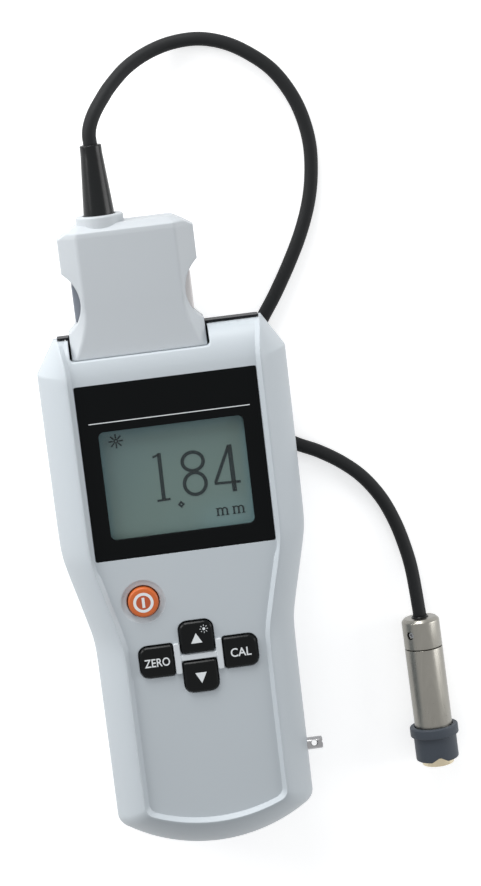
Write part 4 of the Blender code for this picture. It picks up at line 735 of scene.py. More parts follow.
def notch_distance(xy):
    """Distance from the outline of a box with rounded corners, measured outwards."""
    qx = np.abs(xy[..., 0] - PLUG_X) - NOTCH["half"] + NOTCH["corner"]
    qy = corner_y - xy[..., 1]
    outside = np.hypot(np.maximum(qx, 0), np.maximum(qy, 0))
    return outside + np.minimum(np.maximum(qx, qy), 0) - NOTCH["corner"]


def roll_surface(xy):
    """Height of the face: the roll's quarter ellipse, less the rounded edge along the notch."""
    drop = roll(xy[..., 1]) * (FACE_Z - SEAM_Z) / (CASE_TOP_Z - SEAM_Z)
    near = np.clip(EDGE - notch_distance(xy), 0, EDGE)
    z = FACE_Z - drop - EDGE + np.sqrt(EDGE ** 2 - near ** 2)
    return np.concatenate([xy, z[..., None]], -1)


band = roll_surface(np.stack([notch_line(EDGE * m) for m in (0, 0.05, 0.2, 0.45, 0.75, 1, 1.4)]))
front.grid(band)
right_edge = face_edge[:flat_row + 1, :2]
left_edge = right_edge * (-1, 1)
across_x = np.linspace(right_edge[-1, 0], left_edge[-1, 0], 34)
flat_line = np.column_stack([across_x, np.full(34, rows[flat_row])])
top_right = np.linspace(band[-1, 0, :2], right_edge[0], 7)[1:-1]
top_left = np.linspace(left_edge[0], band[-1, -1, :2], 7)[1:-1]
roll_loop = np.vstack([right_edge, flat_line[1:-1], left_edge[::-1],
                       top_left, band[-1, ::-1, :2], top_right])
grid_x, grid_y = np.meshgrid(np.linspace(-0.036, 0.036, 61), rows[1:flat_row])
loose = np.column_stack([grid_x.ravel(), grid_y.ravel()])
clear = np.interp(-loose[:, 1], -right_edge[:, 1], right_edge[:, 0]) - np.abs(loose[:, 0])
loose = loose[(clear > 0.0004) & (notch_distance(loose) > 1.4 * EDGE + 0.0004)]
flat, triangles = patch([roll_loop], loose)
front.add(roll_surface(flat), triangles)
wall = band[0]
front.grid([wall, wall * (1, 1, 0) + (0, 0, SEAM_Z)])
for side in (1, -1):
    inward = roll_surface(top_right[::-1] if side > 0 else top_left)
    rounded = band[::-1, 0] if side > 0 else band[::-1, -1]
    curve_end = np.vstack([skin[:, 0] * (side, 1, 1), inward, rounded])
    loop = np.vstack([curve_end, curve_end[-1] * (1, 1, 0) + (0, 0, SEAM_Z)])[:, [0, 2]]
    loop = loop[np.concatenate([[True], np.linalg.norm(np.diff(loop, axis=0), axis=1) > 1e-7])]
    flat, triangles = patch([loop])
    front.add(np.column_stack([flat[:, 0], np.full(len(flat), TOP_Y), flat[:, 1]]), triangles)
seam_loop = np.vstack([skin[0, :, :2], wall[::-1, :2]])
flat, triangles = patch([seam_loop])
front.add(lifted(flat, SEAM_Z), triangles)
print("roll has", len(loose), "inner points; notch is", round(2 * NOTCH["half"] * 1000, 1), "mm wide")

# %% [markdown]
# A black plate closes the top end. It carries on as the lining of the well that the plug stands in,
# so it is two blocks joined, with the well's room and the opening for the contacts cut out.

# %% Top end panel
def nose_hole(high_y):
    """The opening for the plug's contact block."""
    half, tall = NOSE_HALF + GAP, NOSE_HEIGHT + GAP
    low = (PLUG_X - half, PLUG_LOW_Y - WALL, CABLE_Z - tall)
    return block("nose_hole", low, (PLUG_X + half, high_y, CABLE_Z + tall))


def end_panel():
    """A black plate on the top end, joined to the lining of the well that the plug stands in."""
    half, back_y, thick = TOP_WIDTH / 2 - RIM_TOP, TOP_Y + GAP, 0.00054
    well_half, well_y, floor = PLUG_HALF + GAP, PLUG_LOW_Y - GAP, HEAD_LIFT + WALL + GAP
    panel = block("end_panel", (-half, back_y, SEAM_Z + GAP), (half, back_y + thick, LINER_TOP))
    carve(panel, block("well", (PLUG_X - well_half - LINER, well_y - LINER, floor),
                       (PLUG_X + well_half + LINER, back_y + thick, LINER_TOP)), operation="UNION")
    room = block("room", (PLUG_X - well_half, well_y, floor + LINER),
                 (PLUG_X + well_half, TOP_Y + WALL, CASE_TOP_Z))
    flush = block("flush", (-HEAD_WIDTH, TOP_Y - 0.0001, 0), (HEAD_WIDTH, TOP_Y + WALL, SEAM_Z + GAP))
    return carve(panel, room, nose_hole(PLUG_LOW_Y), flush)


panel = finish_piece(end_panel(), "case", panel_black, ["top_end_panel"])
print("end panel has", len(panel.data.polygons), "faces")

# %% Holes in the face
POCKET_Z = CEILING_Z - 0.0010               # below the ceiling, so that the hollow opens each hole


def hole(form, ring_at, below=None, edge=0.00022, margin=0.00012):
    """A flat margin, a rounded edge, and a wall down through each (outline, height, margin)."""
    rings = [lifted(ring_at(edge + margin), FACE_Z)]
    for t in np.linspace(0, pi / 2, 5):
        rings.append(lifted(ring_at(edge * (1 - sin(t))), FACE_Z - edge * (1 - cos(t))))
    rings += [lifted(at(wider), z) for at, z, wider in below or [(ring_at, POCKET_Z, 0)]]
    form.grid(rings, round_columns=True).cap(rings[-1])
    return rings[0][:, :2]


def label_ring(margin):
    middle_y = (LABEL["low"] + LABEL["high"]) / 2
    return rounded_outline(0, middle_y, LABEL["width"] + GAP + 2 * margin,
                           LABEL["high"] - LABEL["low"] + GAP + 2 * margin, 0.0006 + margin)


def window_ring(margin):
    return rounded_outline(0, WINDOW["y"], WINDOW["width"] + 2 * margin, WINDOW["height"] + 2 * margin,
                           WINDOW["corner"] + margin)


def power_hole(margin):
    a = np.linspace(0, 2 * pi, 72, endpoint=False)
    radius = POWER_RADIUS + POWER_GAP + margin
    return np.column_stack([POWER_X + radius * np.cos(a), POWER_Y + radius * np.sin(a)])


LABEL_FLOOR = FACE_Z - 0.0009 - GAP / 2
window_hole = LENS_MARGIN + GAP
loops = [hole(front, lambda m, n=name: key_outline(n, GAP + m)) for name in KEYS]
low = FACE_Z - POWER_DISH
dish = softened([(POWER_RING + 0.0003, FACE_Z), (POWER_RING, FACE_Z),
                 (0.65 * POWER_RING, FACE_Z - 0.65 * POWER_DISH), (0.00015, low), (0, low - 0.00015),
                 (0, POCKET_Z)], [0, 0.00022, 0.0005, 0.0001, 0.0001, 0], 7)
rings = [lifted(power_hole(margin), z) for margin, z in dish]
front.grid(rings, round_columns=True).cap(rings[-1])
loops.append(rings[0][:, :2])
down_to_lens = [(label_ring, LABEL_FLOOR, 0.0), (window_ring, LABEL_FLOOR, window_hole),
                (window_ring, POCKET_Z, window_hole)]
loops.append(hole(front, label_ring, down_to_lens, edge=0.00006, margin=0.00003))
rim_loop = np.vstack([face_edge[flat_row:len(face_edge) - flat_row, :2], flat_line[::-1][1:-1]])
flat, triangles = patch([rim_loop, *loops])
front.add(lifted(flat, FACE_Z), triangles)
front_shell = front.piece("front_moulding", weld=1.5e-5)
print("front moulding has", len(front_shell.data.polygons), "faces")

# %% [markdown]
# The moulding is hollow. Its inside is cut with a plainer form from the same functions, a wall's
# thickness further in.

# %% Hollow the front
def ladder_form(rings, name):
    """A closed form from open strips: each row's two sides joined across, at both ends and the top."""
    form = Form().grid(rings)
    half = rings.shape[1] // 2
    for ring in (rings[0], rings[-1]):
        form.grid(np.stack([ring[:half + 1], ring[::-1][:half + 1]]))
    form.grid(np.stack([rings[:, 0], rings[:, -1]]))
    return form.piece(name, weld=1.5e-5)


few = np.radians([0, 25, 50, 75])
in_share = 1 - np.cos(few) ** power
in_height = np.minimum(base + np.sin(few) ** power * (CASE_TOP_Z - base) - WALL / 2, CEILING_Z)
in_height[0] = SEAM_Z - 0.002
hollow = strip(in_share, np.maximum(in_height, SEAM_Z - 0.002), WALL, WALL)
wide_notch = block("wide_notch", (PLUG_X - WIDE_HALF, WIDE_LOW_Y, SEAM_Z - WALL),
                   (PLUG_X + WIDE_HALF, TOP_Y + WALL, LINER_TOP + GAP))
carve(front_shell, ladder_form(hollow, "hollow"), wide_notch)


def strap_bore():
    return turned_form([(GRIP_WIDTH / 2 - 2 * WALL, STRAP_RADIUS + GAP), (GRIP_WIDTH, STRAP_RADIUS + GAP)],
                       (0, STRAP_Y, STRAP_Z), (1, 0, 0), 48).piece("bore")


carve(front_shell, strap_bore())
finish_piece(front_shell, "case", shell_grey, ["front_shell"])
print("hollow front has", len(front_shell.data.polygons), "faces")

# %% [markdown]
# ## Key web
#
# Two low rails and a bridge stand between the keys, so that a thumb doesn't press two at once. They
# are part of the moulding, but their edges are rounder than a cut would give, so they are a small
# form of their own. They are the shell's own plastic, painted a lighter grey that is painted light:
# it stands in for the highlights on their rounded edges.

# %% Web
def rounded_bar(form, outline_at, low, high, edge):
    """Sides up from low, a rounded top edge, and a flat top."""
    rings = [lifted(outline_at(0), low)]
    for t in np.linspace(0, pi / 2, 5):
        rings.append(lifted(outline_at(-edge * (1 - cos(t))), high - edge + edge * sin(t)))
    rings.append(lifted(outline_at(-edge - 0.00005), high))
    form.grid(rings, round_columns=True).cap(rings[0]).cap(rings[-1])


def rail(x):
    return lambda m: rounded_outline(x, KEY_CENTRE_Y, WEB_WIDTH + 2 * m, KEY_HEIGHT + 2 * m, 0.00055 + m)


def bridge(m):
    return rounded_outline(0, KEY_CENTRE_Y, KEY_SIDE_X, WEB_BRIDGE + 2 * m, 0.0001)


web, web_edge = Form(), 0.00022
for x in (-KEY_SIDE_X / 2, KEY_SIDE_X / 2):
    rounded_bar(web, rail(x), FACE_Z - 0.0006, FACE_Z + WEB_PROUD, web_edge)
rounded_bar(web, bridge, FACE_Z - 0.0008, FACE_Z + WEB_PROUD - GAP / 2, web_edge)
key_web = web.piece("key_web")
# The web's lighter grey is painted light, not a plastic of its own.
finish_piece(key_web, "case", web_grey_painted_light, ())
print("web rails stand", WEB_PROUD * 1000, "mm above the face")

# %% [markdown]
# ## Keys
#
# A key cap is a moulded pad with a flange under the face that keeps it in. Its sides slope in to a
# flat top, whose small rounded edge catches the light, and the top is dished very slightly. Each cap
# is a stack of the same rounded outline at different margins.

# %% Square keys
LEGEND_Z = KEY_TOP - 0.00009


def key_cap(name):
    side = softened([(0, KEY_FLANGE_TOP), (0, KEY_TOP - KEY_SLOPE), (-KEY_SLOPE, KEY_TOP - 0.00003),
                     (-KEY_SLOPE - 0.0006, LEGEND_Z), (-KEY_SLOPE - 0.0009, LEGEND_Z)],
                    [0, 0.0002, 0.00028, 0.0003, 0], 7)
    flange = key_outline(name, KEY_FLANGE + GAP)
    rings = [lifted(flange, KEY_BASE), lifted(flange, KEY_FLANGE_TOP)]
    rings += [lifted(key_outline(name, margin), z) for margin, z in side]
    return bar(f"{name}_cap", rings)


for name in KEYS:
    finish_piece(key_cap(name), name, key_black, [name])
print("key tops are at", round(KEY_TOP * 1000, 2), "mm")

# %% Power key
flange = POWER_RADIUS + POWER_GAP + KEY_FLANGE
profile = softened([(KEY_BASE, flange), (KEY_FLANGE_TOP, flange), (KEY_FLANGE_TOP, POWER_RADIUS),
                    (KEY_TOP, POWER_RADIUS), (KEY_TOP, 0.0004)], [0, 0, 0, 0.0007, 0], 8)
power_cap = turned_form(profile, (POWER_X, POWER_Y, 0), (0, 0, 1)).piece("power_cap")
finish_piece(power_cap, "power_key", power_orange, ["power_key"])
print("power key has", len(profile), "rings")

# %% [markdown]
# ## Legends
#
# Printed marks are ink a few hundredths of a millimetre thick. They could be drawn in the shader,
# but thin plates stay sharp at any distance. A stroke is a line with a width; its plate is that line
# widened to both sides and given a thickness. The words come from a Text object, which is made a
# mesh and then fitted to its measured width and height.

# %% Strokes and plates
INK = 0.00003


def stroke(form, line, width, z, closed=False):
    """Left and right of each point lie half a width along the line's normal."""
    line = np.asarray(line, float)
    way = (np.roll(line, -1, 0) - np.roll(line, 1, 0)) if closed else np.gradient(line, axis=0)
    way /= np.linalg.norm(way, axis=1)[:, None]
    off = np.column_stack([-way[:, 1], way[:, 0]]) * width / 2
    section = [(line + off, z), (line - off, z), (line - off, z - INK), (line + off, z - INK)]
    rings = np.stack([lifted(xy, level) for xy, level in section], 1)
    form.grid(rings, round_rows=closed, round_columns=True)
    if not closed:
        form.cap(rings[0]).cap(rings[-1])
    return form


def plate(form, outline_xy, z):
    rings = [lifted(outline_xy, level) for level in (z - INK, z)]
    return form.grid(rings, round_columns=True).cap(rings[0]).cap(rings[1])


def arc_line(x, y, rx, ry, steps, last=360):
    """Part of an ellipse from the right-hand end, or all of it without the repeated last point."""
    a = np.radians(np.linspace(0, last, steps, endpoint=last < 360))
    return np.column_stack([x + rx * np.cos(a), y + ry * np.sin(a)])


def words(name, text, x, y, width, height, z):
    """Text as a thin mesh, stretched to the width and height asked for and centred on x, y."""
    curve = bpy.data.curves.new(name, "FONT")
    curve.body, curve.extrude, curve.resolution_u, curve.offset = text, 0.01, 6, 0.012
    written = bpy.data.objects.new(name, curve)
    scene.collection.objects.link(written)
    bpy.context.view_layer.update()
    mesh = evaluated_mesh(written)
    bpy.data.objects.remove(written)
    co = np.zeros(len(mesh.vertices) * 3)
    mesh.vertices.foreach_get("co", co)
    co = co.reshape(-1, 3)
    low, high = co.min(0), co.max(0)
    co = (co - (low + high) / 2) / (high - low) * (width, height, INK) + (x, y, z - INK / 2)
    mesh.vertices.foreach_set("co", co.ravel())
    shape = bmesh.new()
    shape.from_mesh(mesh)
    bmesh.ops.remove_doubles(shape, verts=shape.verts, dist=1e-7)
    bmesh.ops.recalc_face_normals(shape, faces=shape.faces)
    shape.to_mesh(mesh)
    shape.free()
    thing = bpy.data.objects.new(name, mesh)
    scene.collection.objects.link(thing)
    return thing


def sun_mark(form, x, y, inner, first, last, width, z, disc=False):
    """A disc or a ring, with eight rays round it."""
    if disc:
        plate(form, arc_line(x, y, inner, inner, 20), z)
    else:
        stroke(form, arc_line(x, y, inner, inner, 28), width, z, closed=True)
    for k in range(8):
        way = np.array([cos(pi * k / 4), sin(pi * k / 4)])
        stroke(form, [(x, y) + way * first, (x, y) + way * last], width, z)


print("ink is", round(INK * 1e6), "micrometres thick")

# %% Legends on the keys
mm = 0.001
top, power_top = LEGEND_Z + 0.00002, KEY_TOP + 0.00002
for key, text, x, width, height in (("zero", "ZERO", -12.2, 7.4, 2.5), ("cal", "CAL", 12.25, 6.0, 2.6)):
    legend = words(f"{key}_legend", text, x * mm, -17.2 * mm, width * mm, height * mm, top)
    finish_piece(legend, f"{key}_key", white_print)
arrow = plate(Form(), np.array([(-1.8, -12.9), (1.5, -12.9), (-0.15, -9.9)]) * mm, top)
sun_mark(arrow, 2.34 * mm, -8.9 * mm, 0.42 * mm, 0.8 * mm, 1.25 * mm, 0.16 * mm, top, disc=True)
finish_piece(arrow.piece("up_legend"), "up_key", white_print)
arrow = plate(Form(), np.array([(-1.67, -21.8), (1.67, -21.8), (0, -25.0)]) * mm, top)
finish_piece(arrow.piece("down_legend"), "down_key", white_print)
mark = stroke(Form(), arc_line(POWER_X, POWER_Y, 2.52 * mm, 2.52 * mm, 72), 0.82 * mm, power_top, closed=True)
stroke(mark, [(POWER_X, POWER_Y - 1.5 * mm), (POWER_X, POWER_Y + 1.5 * mm)], 0.82 * mm, power_top)
finish_piece(mark.piece("power_legend"), "power_key", white_print)
print("five legends")

# %% [markdown]
# ## Display
#
# The black label is a plate with a window, its edges barely rounded. Behind it is a clear lens, and
# behind that the liquid crystal glass: a grey-green panel that is a little lighter and bluer towards
# one side, which is a painted reflection of the room, and lighter and bluer along its rim. Its dark
# segments float just above it and cast a soft shadow on it.

# %% Label and lens
label_edge = 0.00012
rings = [(label_ring, -GAP / 2, LABEL_FLOOR + GAP / 2), (label_ring, -GAP / 2, FACE_Z - label_edge),
         (label_ring, -GAP / 2 - 0.3 * label_edge, FACE_Z - 0.3 * label_edge),
         (label_ring, -GAP / 2 - label_edge, FACE_Z), (label_ring, -GAP / 2 - 0.0003, FACE_Z),
         (window_ring, 0.00045, FACE_Z), (window_ring, 0.00025, FACE_Z), (window_ring, 0.0001, FACE_Z - 0.00006),
         (window_ring, 0.0, FACE_Z - 0.0002), (window_ring, 0.0, LABEL_FLOOR + GAP / 2)]
rings = [lifted(at(margin), z) for at, margin, z in rings]
label = Form().grid(rings, round_rows=True, round_columns=True).piece("label_plate")
finish_piece(label, "case", label_black, ["display_label"])
rule = stroke(Form(), [(-23.1 * mm, 54.5 * mm), (23.1 * mm, 54.5 * mm)], 0.24 * mm, FACE_Z + 0.00001)
finish_piece(rule.piece("label_rule"), "case", white_print)
glass = Finish("clear_lens").set(Base_Color=(0.30, 0.34, 0.34), Roughness=0.10, Alpha=0.05)
paint(nodes["display_lens"], glass.material)
print("the label's edge is rounded by", label_edge * 1000, "mm")

# %% Liquid crystal glass
lcd = Finish("display_glass")
px = lcd.node("ShaderNodeSeparateXYZ", {}, {0: lcd.place}, "X")
py = Value(lcd, px.socket.node.outputs["Y"])
# The blend of colours from one corner to the other is a painted reflection of the room in the glass.
slope = px * 9 - (py - WINDOW["y"]) * 14 + 0.5
room_reflection_blend = (slope + (lcd.noise(60, 1.5) - 0.5) * 0.25).clamped()
shade = lcd.mix(lcd.ramp(room_reflection_blend, 0.0, 0.6), colour(90, 112, 113), colour(101, 122, 117))
shade = lcd.mix(lcd.ramp(room_reflection_blend, 0.6, 1.0), shade, colour(108, 137, 138))
rim_x = lcd.ramp(px.maths("ABSOLUTE"), 0.0185, 0.0208)
rim_y = lcd.ramp(py, WINDOW["y"] + 0.0120, WINDOW["y"] + 0.0158)
shade = lcd.mix((rim_x + rim_y).clamped() * 0.5, shade, colour(100, 134, 140))
lcd.set(Base_Color=shade, Roughness=0.40, Specular_IOR_Level=0.2)
lcd.bump(lcd.noise(3500, 1.0), 0.000003)
paint(nodes["lcd_panel"], lcd.material)
print("the glass's shader has", len(lcd.tree.nodes), "nodes")

# %% Digits and signs
seg_z = LCD_TOP + 0.00008
digits = Form()


def lines_of(pairs, width):
    for line in pairs:
        stroke(digits, np.array(line) * mm, width * mm, seg_z)


def loop_of(x, y, rx, ry, width, steps=64):
    """A closed line whose outer edge has the given half sizes."""
    line = arc_line(x * mm, y * mm, (rx - width / 2) * mm, (ry - width / 2) * mm, steps)
    stroke(digits, line, width * mm, seg_z, closed=True)


lines_of([[(-4.3, 43.4), (-4.42, 29.6)]], 1.1)
lines_of([[(-6.2, 42.35), (-4.2, 43.0)], [(-6.35, 29.55), (-2.5, 29.7)]], 0.65)
loop_of(5.07, 33.25, 3.6, 3.7, 1.0)
loop_of(5.07, 39.75, 3.5, 3.2, 1.0)
lines_of([[(16.0, 43.3), (16.15, 29.5)]], 1.3)
lines_of([[(15.7, 42.9), (10.9, 32.7)]], 0.9)
lines_of([[(10.6, 32.45), (18.1, 32.2)]], 0.75)
loop_of(0.37, 27.7, 1.05, 1.05, 0.75, steps=4)
for x in (10.0, 14.7):
    for k in range(3):
        at, tall = x + 0.55 + 1.35 * k, 25.2 - 0.45 * (k > 0)
        lines_of([[(at, 22.9), (at, tall)]], 0.5)
        lines_of([[(at - 0.5, 23.0), (at + 0.5, 23.0)]], 0.24)
        if k:
            arch = arc_line((at - 0.675) * mm, 24.5 * mm, 0.675 * mm, 0.62 * mm, 14, 150)
            stroke(digits, arch, 0.38 * mm, seg_z)
    lines_of([[(x + 0.05, 25.1), (x + 0.6, 25.1)]], 0.24)
sun_mark(digits, -16.0 * mm, 48.4 * mm, 0.50 * mm, 0.8 * mm, 2.1 * mm, 0.44 * mm, seg_z)
finish_piece(digits.piece("lcd_segments"), "case", lcd_ink)
print("digits float", round((seg_z - LCD_TOP) * 1e6), "micrometres above the glass")

# %% [markdown]
# ## Rear shell
#
# The back is lofted the same way: a line of sizes from the seam, down the side, round the edge and
# on to the flat back, which steps up under the head on a ramp. Between the measured lines the
# profile is the same kind of curve. The battery bay, the screw sinks, the notch and the channel of the
# cover are then cut out of it, as they are in the solid.

# %% Back functions
def back_height(y):
    return HEAD_LIFT * soft_step((y - RAMP_LOW_Y) / (RAMP_HIGH_Y - RAMP_LOW_Y), 0.1)


def rear_strip(lines):
    """Each line is (inset, share of the way up to the seam, height above the back)."""
    lines = np.asarray(lines, float)
    x, y = half_plan(np.zeros(len(lines)), lines[:, 0], 0.8 * lines[:, 0])
    back = back_height(y)
    z = back + lines[:, 2:] + lines[:, 1:2] * (REAR_Z - back)
    return both_sides(np.stack([x, y, z], -1))


BT, ER = BACK_TAPER, EDGE_ROUND
rear_lines = np.array([(0, 1, 0), (0.05 * BT, 0.62, 0), (0.52 * BT, 0, 1.4 * ER),
                       (0.70 * BT, 0, 0.35 * ER), (BT, 0, 0)])
smooth_lines = curve_through(rear_lines, 6)
smooth_lines[:, 2] = np.maximum(smooth_lines[:, 2], 0)
smooth_lines[:, 1] = np.clip(smooth_lines[:, 1], 0, 1)
smooth_lines = np.vstack([smooth_lines, [(BT + 0.0004, 0, 0)]])


def rear_solid(name):
    return ladder_form(rear_strip(smooth_lines), name)


BAY = dict(half=0.01495, high=-0.01195, low=-0.06685, top=0.0176, wall=0.0012)
COVER = dict(half=0.0170, high=-0.01075, thick=0.0022, dovetail=0.0012)


def cover_bar(name, margin, corner=0.0):
    """Dovetail section, wider inside than outside, carried along the case."""
    low, high = COVER["half"] + margin, COVER["half"] + COVER["dovetail"] + margin
    slope = COVER["dovetail"] / COVER["thick"]
    top_z = COVER["thick"] + margin
    section = [(-low + slope * WALL, -WALL), (low - slope * WALL, -WALL),
               (high + slope * margin, top_z), (-high - slope * margin, top_z)]
    ends = (BOTTOM_Y - WALL, COVER["high"] + margin)
    return bar(name, [[(x, y, z) for x, z in section] for y in ends])


def case_screw_places():
    at_y = np.array([0.0590, -0.0065])
    half = body_half(at_y, HEAD_WIDTH / 2, GRIP_WIDTH / 2) - 0.0100
    return [(s * x, float(y)) for x, y in zip(half, at_y) for s in (-1, 1)]


rear = rear_solid("rear_moulding")
inner_lines = [(WALL, 1.0, 0.002), (0.55 * BT + WALL, 0, 1.4 * ER + WALL), (0.95 * BT + WALL, 0, WALL)]
carve(rear, ladder_form(rear_strip(inner_lines), "inside"))
bay = block("bay", (-BAY["half"] - BAY["wall"], BAY["low"] - BAY["wall"], WALL / 2),
            (BAY["half"] + BAY["wall"], BAY["high"] + BAY["wall"], BAY["top"] + BAY["wall"]))
carve(rear, bay, operation="UNION")
x, y = half_plan(0.0, 0.8 * BT)
right_side = np.stack([x[0], y[0]], 1)
edge_y = BAY["low"] - BAY["wall"] / 2
corner = (float(np.interp(-edge_y, -right_side[:, 1], right_side[:, 0])), edge_y)
tail = np.vstack([[corner], right_side[right_side[:, 1] < edge_y]])
tail = np.vstack([tail, (tail * (-1, 1))[-2::-1]])
floor = bar("tail_floor", [lifted(tail, z) for z in (COVER["thick"] - GAP, COVER["thick"] + GAP + WALL)])
seat = 0.0086
sleeves, posts, sinks, holes = [], [], [], []
for x, y in case_screw_places():
    low = float(back_height(np.array(y)))
    sink = softened([(-WALL, 0.0036), (low - 0.0001, 0.0031), (low + 0.0004, 0.0027), (seat, 0.0027)], 0.0003)
    for kept, profile, sides in ((sleeves, [(low + WALL / 2, 0.0038), (seat + WALL / 2, 0.0038)], 40),
                                 (posts, [(seat - WALL / 2, 0.0027), (REAR_Z, 0.0027)], 40), (sinks, sink, 48),
                                 (holes, [(0, 0.0015), (REAR_Z + 0.001, 0.0015)], 32)):
        kept.append(turned_form(profile, (x, y, 0), (0, 0, 1), sides).piece("screw_tool"))
carve(rear, floor, merged("sleeves", sleeves), merged("posts", posts), operation="UNION")
carve(rear, merged("holes", holes), merged("sinks", sinks),
      block("bay_hollow", (-BAY["half"], BAY["low"], -WALL), (BAY["half"], BAY["high"], BAY["top"])),
      cover_bar("channel", GAP),
      block("rear_notch", (PLUG_X - WIDE_HALF, WIDE_LOW_Y, HEAD_LIFT + WALL + GAP / 2),
            (PLUG_X + WIDE_HALF, TOP_Y + WALL, 0.06)), strap_bore())
finish_piece(rear, "case", shell_grey, ["rear_shell"])
print("rear moulding has", len(rear.data.polygons), "faces")

# %% [markdown]
# The battery cover slides in a dovetail channel, and its outside follows the back. So it is the
# dovetail bar cut down to the back's own form, with five grooves for the thumb.

# %% Battery cover
cover = cover_bar("battery_door", 0.0)
carve(cover, rear_solid("back_form"), operation="INTERSECT")
grips = []
for k in range(5):
    y = COVER["high"] - 6 * 0.0024 + k * 0.0024
    profile = rounded_outline(0, y + 0.00055, 1.2 * COVER["half"], 0.0011, 0.0005)
    grips.append(bar(f"g{k}", [lifted(profile, -WALL), lifted(profile, 0.0005)]))
carve(cover, merged("grips", grips))
soft = cover.modifiers.new("edge", "BEVEL")
soft.width, soft.segments, soft.limit_method, soft.angle_limit = 0.00015, 2, "ANGLE", radians(40)
applied(cover)
finish_piece(cover, "battery_cover", shell_grey, ["battery_cover"])
print("cover has", len(cover.data.polygons), "faces")

# %% [markdown]
# ## The plug
#
# The plug is two shells, joined along the middle. Its section is a flat front face with two bevels
# down to the sides, and the sides are scooped out by a circle where the fingers press the release
# tabs. So the whole half is one grid: for each place along the plug the half width is the smaller of
# the plain width and the scoop, and the section's corners move with it.

# %% Plug halves
def plug_half(name, side):
    scoop = (SCALLOP_CHORD ** 2 / 4 + SCALLOP_DEPTH ** 2) / (2 * SCALLOP_DEPTH)
    end = 0.0004
    slant, low_rise = 0.0032, 0.0134            # lengths of the slanted top corners and of the widening foot
    shoulder, low_shoulder, steep = 0.00535, 0.0010, 0.93
    last = np.array([0.0016, 0.0012, 0.0008, 0.0005, 0.0003, 0.00015, 0.00005, 0])
    y = np.unique(np.concatenate([PLUG_LOW_Y + end * np.array([0, 0.15, 0.4, 0.7, 1]),
                                  np.linspace(PLUG_LOW_Y + end, PLUG_LOW_Y + low_rise, 26),
                                  SCALLOP_Y + np.linspace(-1, 1, 41) * SCALLOP_CHORD / 2,
                                  SCALLOP_Y + np.array([-1, 1]) * (SCALLOP_CHORD / 2 + 0.0003),
                                  PLUG_TOP_Y - slant + np.linspace(-0.0004, 0.0004, 5),
                                  PLUG_TOP_Y - PLUG_BEVEL + np.linspace(-0.0004, 0.0004, 7),
                                  PLUG_TOP_Y - last]).round(7))
    wide = PLUG_HALF - np.maximum(0, y - PLUG_TOP_Y + slant) * 0.0054 / slant
    away = np.abs(y - SCALLOP_Y)
    scooped = PLUG_HALF - SCALLOP_DEPTH + scoop - np.sqrt(np.maximum(0, scoop ** 2 - away ** 2))
    wide = np.where(away < SCALLOP_CHORD / 2, np.minimum(wide, scooped), wide)
    rise = np.maximum(0, 1 - (y - PLUG_LOW_Y) / low_rise) ** 1.6
    face = PLUG_HALF - shoulder + (shoulder - low_shoulder) * rise
    past = y - PLUG_TOP_Y + PLUG_BEVEL
    soft = 0.00025
    bevel = np.clip(0.5 * (past + np.sqrt(past ** 2 + soft ** 2)) / PLUG_BEVEL, 0, 1) * (past > -0.0012)
    face = face - PLUG_BEVEL * bevel
    depth = PLUG_DEPTH - 0.0028 * bevel
    start = 1 - np.clip((y - PLUG_LOW_Y) / end, 0, 1)
    shrink = end * 0.7 * (1 - np.sqrt(1 - start ** 2))
    wide, face, depth = wide - shrink, face - shrink, depth - shrink
    face = np.minimum(face, wide - 0.0004)
    shoulder_z = depth - (wide - face) * steep
    rings = []
    for w, f, d, s, at in zip(wide, face, depth, shoulder_z, y):
        section = softened([(-w + 0.00015, GAP / 2), (-w, GAP / 2 + 0.00015), (-w, s), (-f, d), (f, d), (w, s),
                            (w, GAP / 2 + 0.00015), (w - 0.00015, GAP / 2)],
                           [0, 0, 0.0007, 0.0008, 0.0008, 0.0007, 0, 0], 7)
        rings.append([(PLUG_X + px, at, CABLE_Z + side * pz) for px, pz in section])
    past_side, long, tall = PLUG_HALF + WALL, TAB_LENGTH / 2 + GAP, TAB_HEIGHT / 2 + GAP
    tools = [block("cavity", (PLUG_X - CAVITY_HALF, PLUG_LOW_Y + 0.0020, CABLE_Z - PLUG_DEPTH + PLUG_WALL),
                   (PLUG_X + CAVITY_HALF, CAVITY_TOP, CABLE_Z + PLUG_DEPTH - PLUG_WALL)),
             block("windows", (PLUG_X - past_side, SCALLOP_Y - long, CABLE_Z - tall),
                   (PLUG_X + past_side, SCALLOP_Y + long, CABLE_Z + tall)),
             nose_hole(PLUG_LOW_Y + 0.0020 + WALL),
             turned_form([(CAVITY_TOP - WALL, BOOT_BASE + GAP), (COLLAR_TOP + WALL, BOOT_BASE + GAP)],
                         (CABLE_X, 0, CABLE_Z), (0, 1, 0), 64).piece("bore")]
    return carve(bar(name, rings), *tools)


for name, side in (("plug_front", 1), ("plug_back", -1)):
    finish_piece(plug_half(name, side), "probe_plug", plug_grey, [f"{name}_shell"])
collar_low = PLUG_TOP_Y - 0.0012
profile = softened([(collar_low, BOOT_BASE + GAP), (collar_low, COLLAR_RADIUS), (COLLAR_TOP, COLLAR_RADIUS),
                    (COLLAR_TOP, BOOT_BASE + GAP)], [0, 0, 0.0006, 0])
collar = turned_form(profile, (CABLE_X, 0, CABLE_Z), (0, 1, 0), 96, hollow=True).piece("plug_collar")
finish_piece(collar, "probe_plug", plug_grey, ())
print("collar stands", round((COLLAR_TOP - PLUG_TOP_Y) * 1000, 1), "mm past the plug")

# %% [markdown]
# The release tabs are pads that stand across the plug, in the scoops of its sides. Each one is a
# stack of rounded outlines, and a wider flange behind the wall keeps it in.

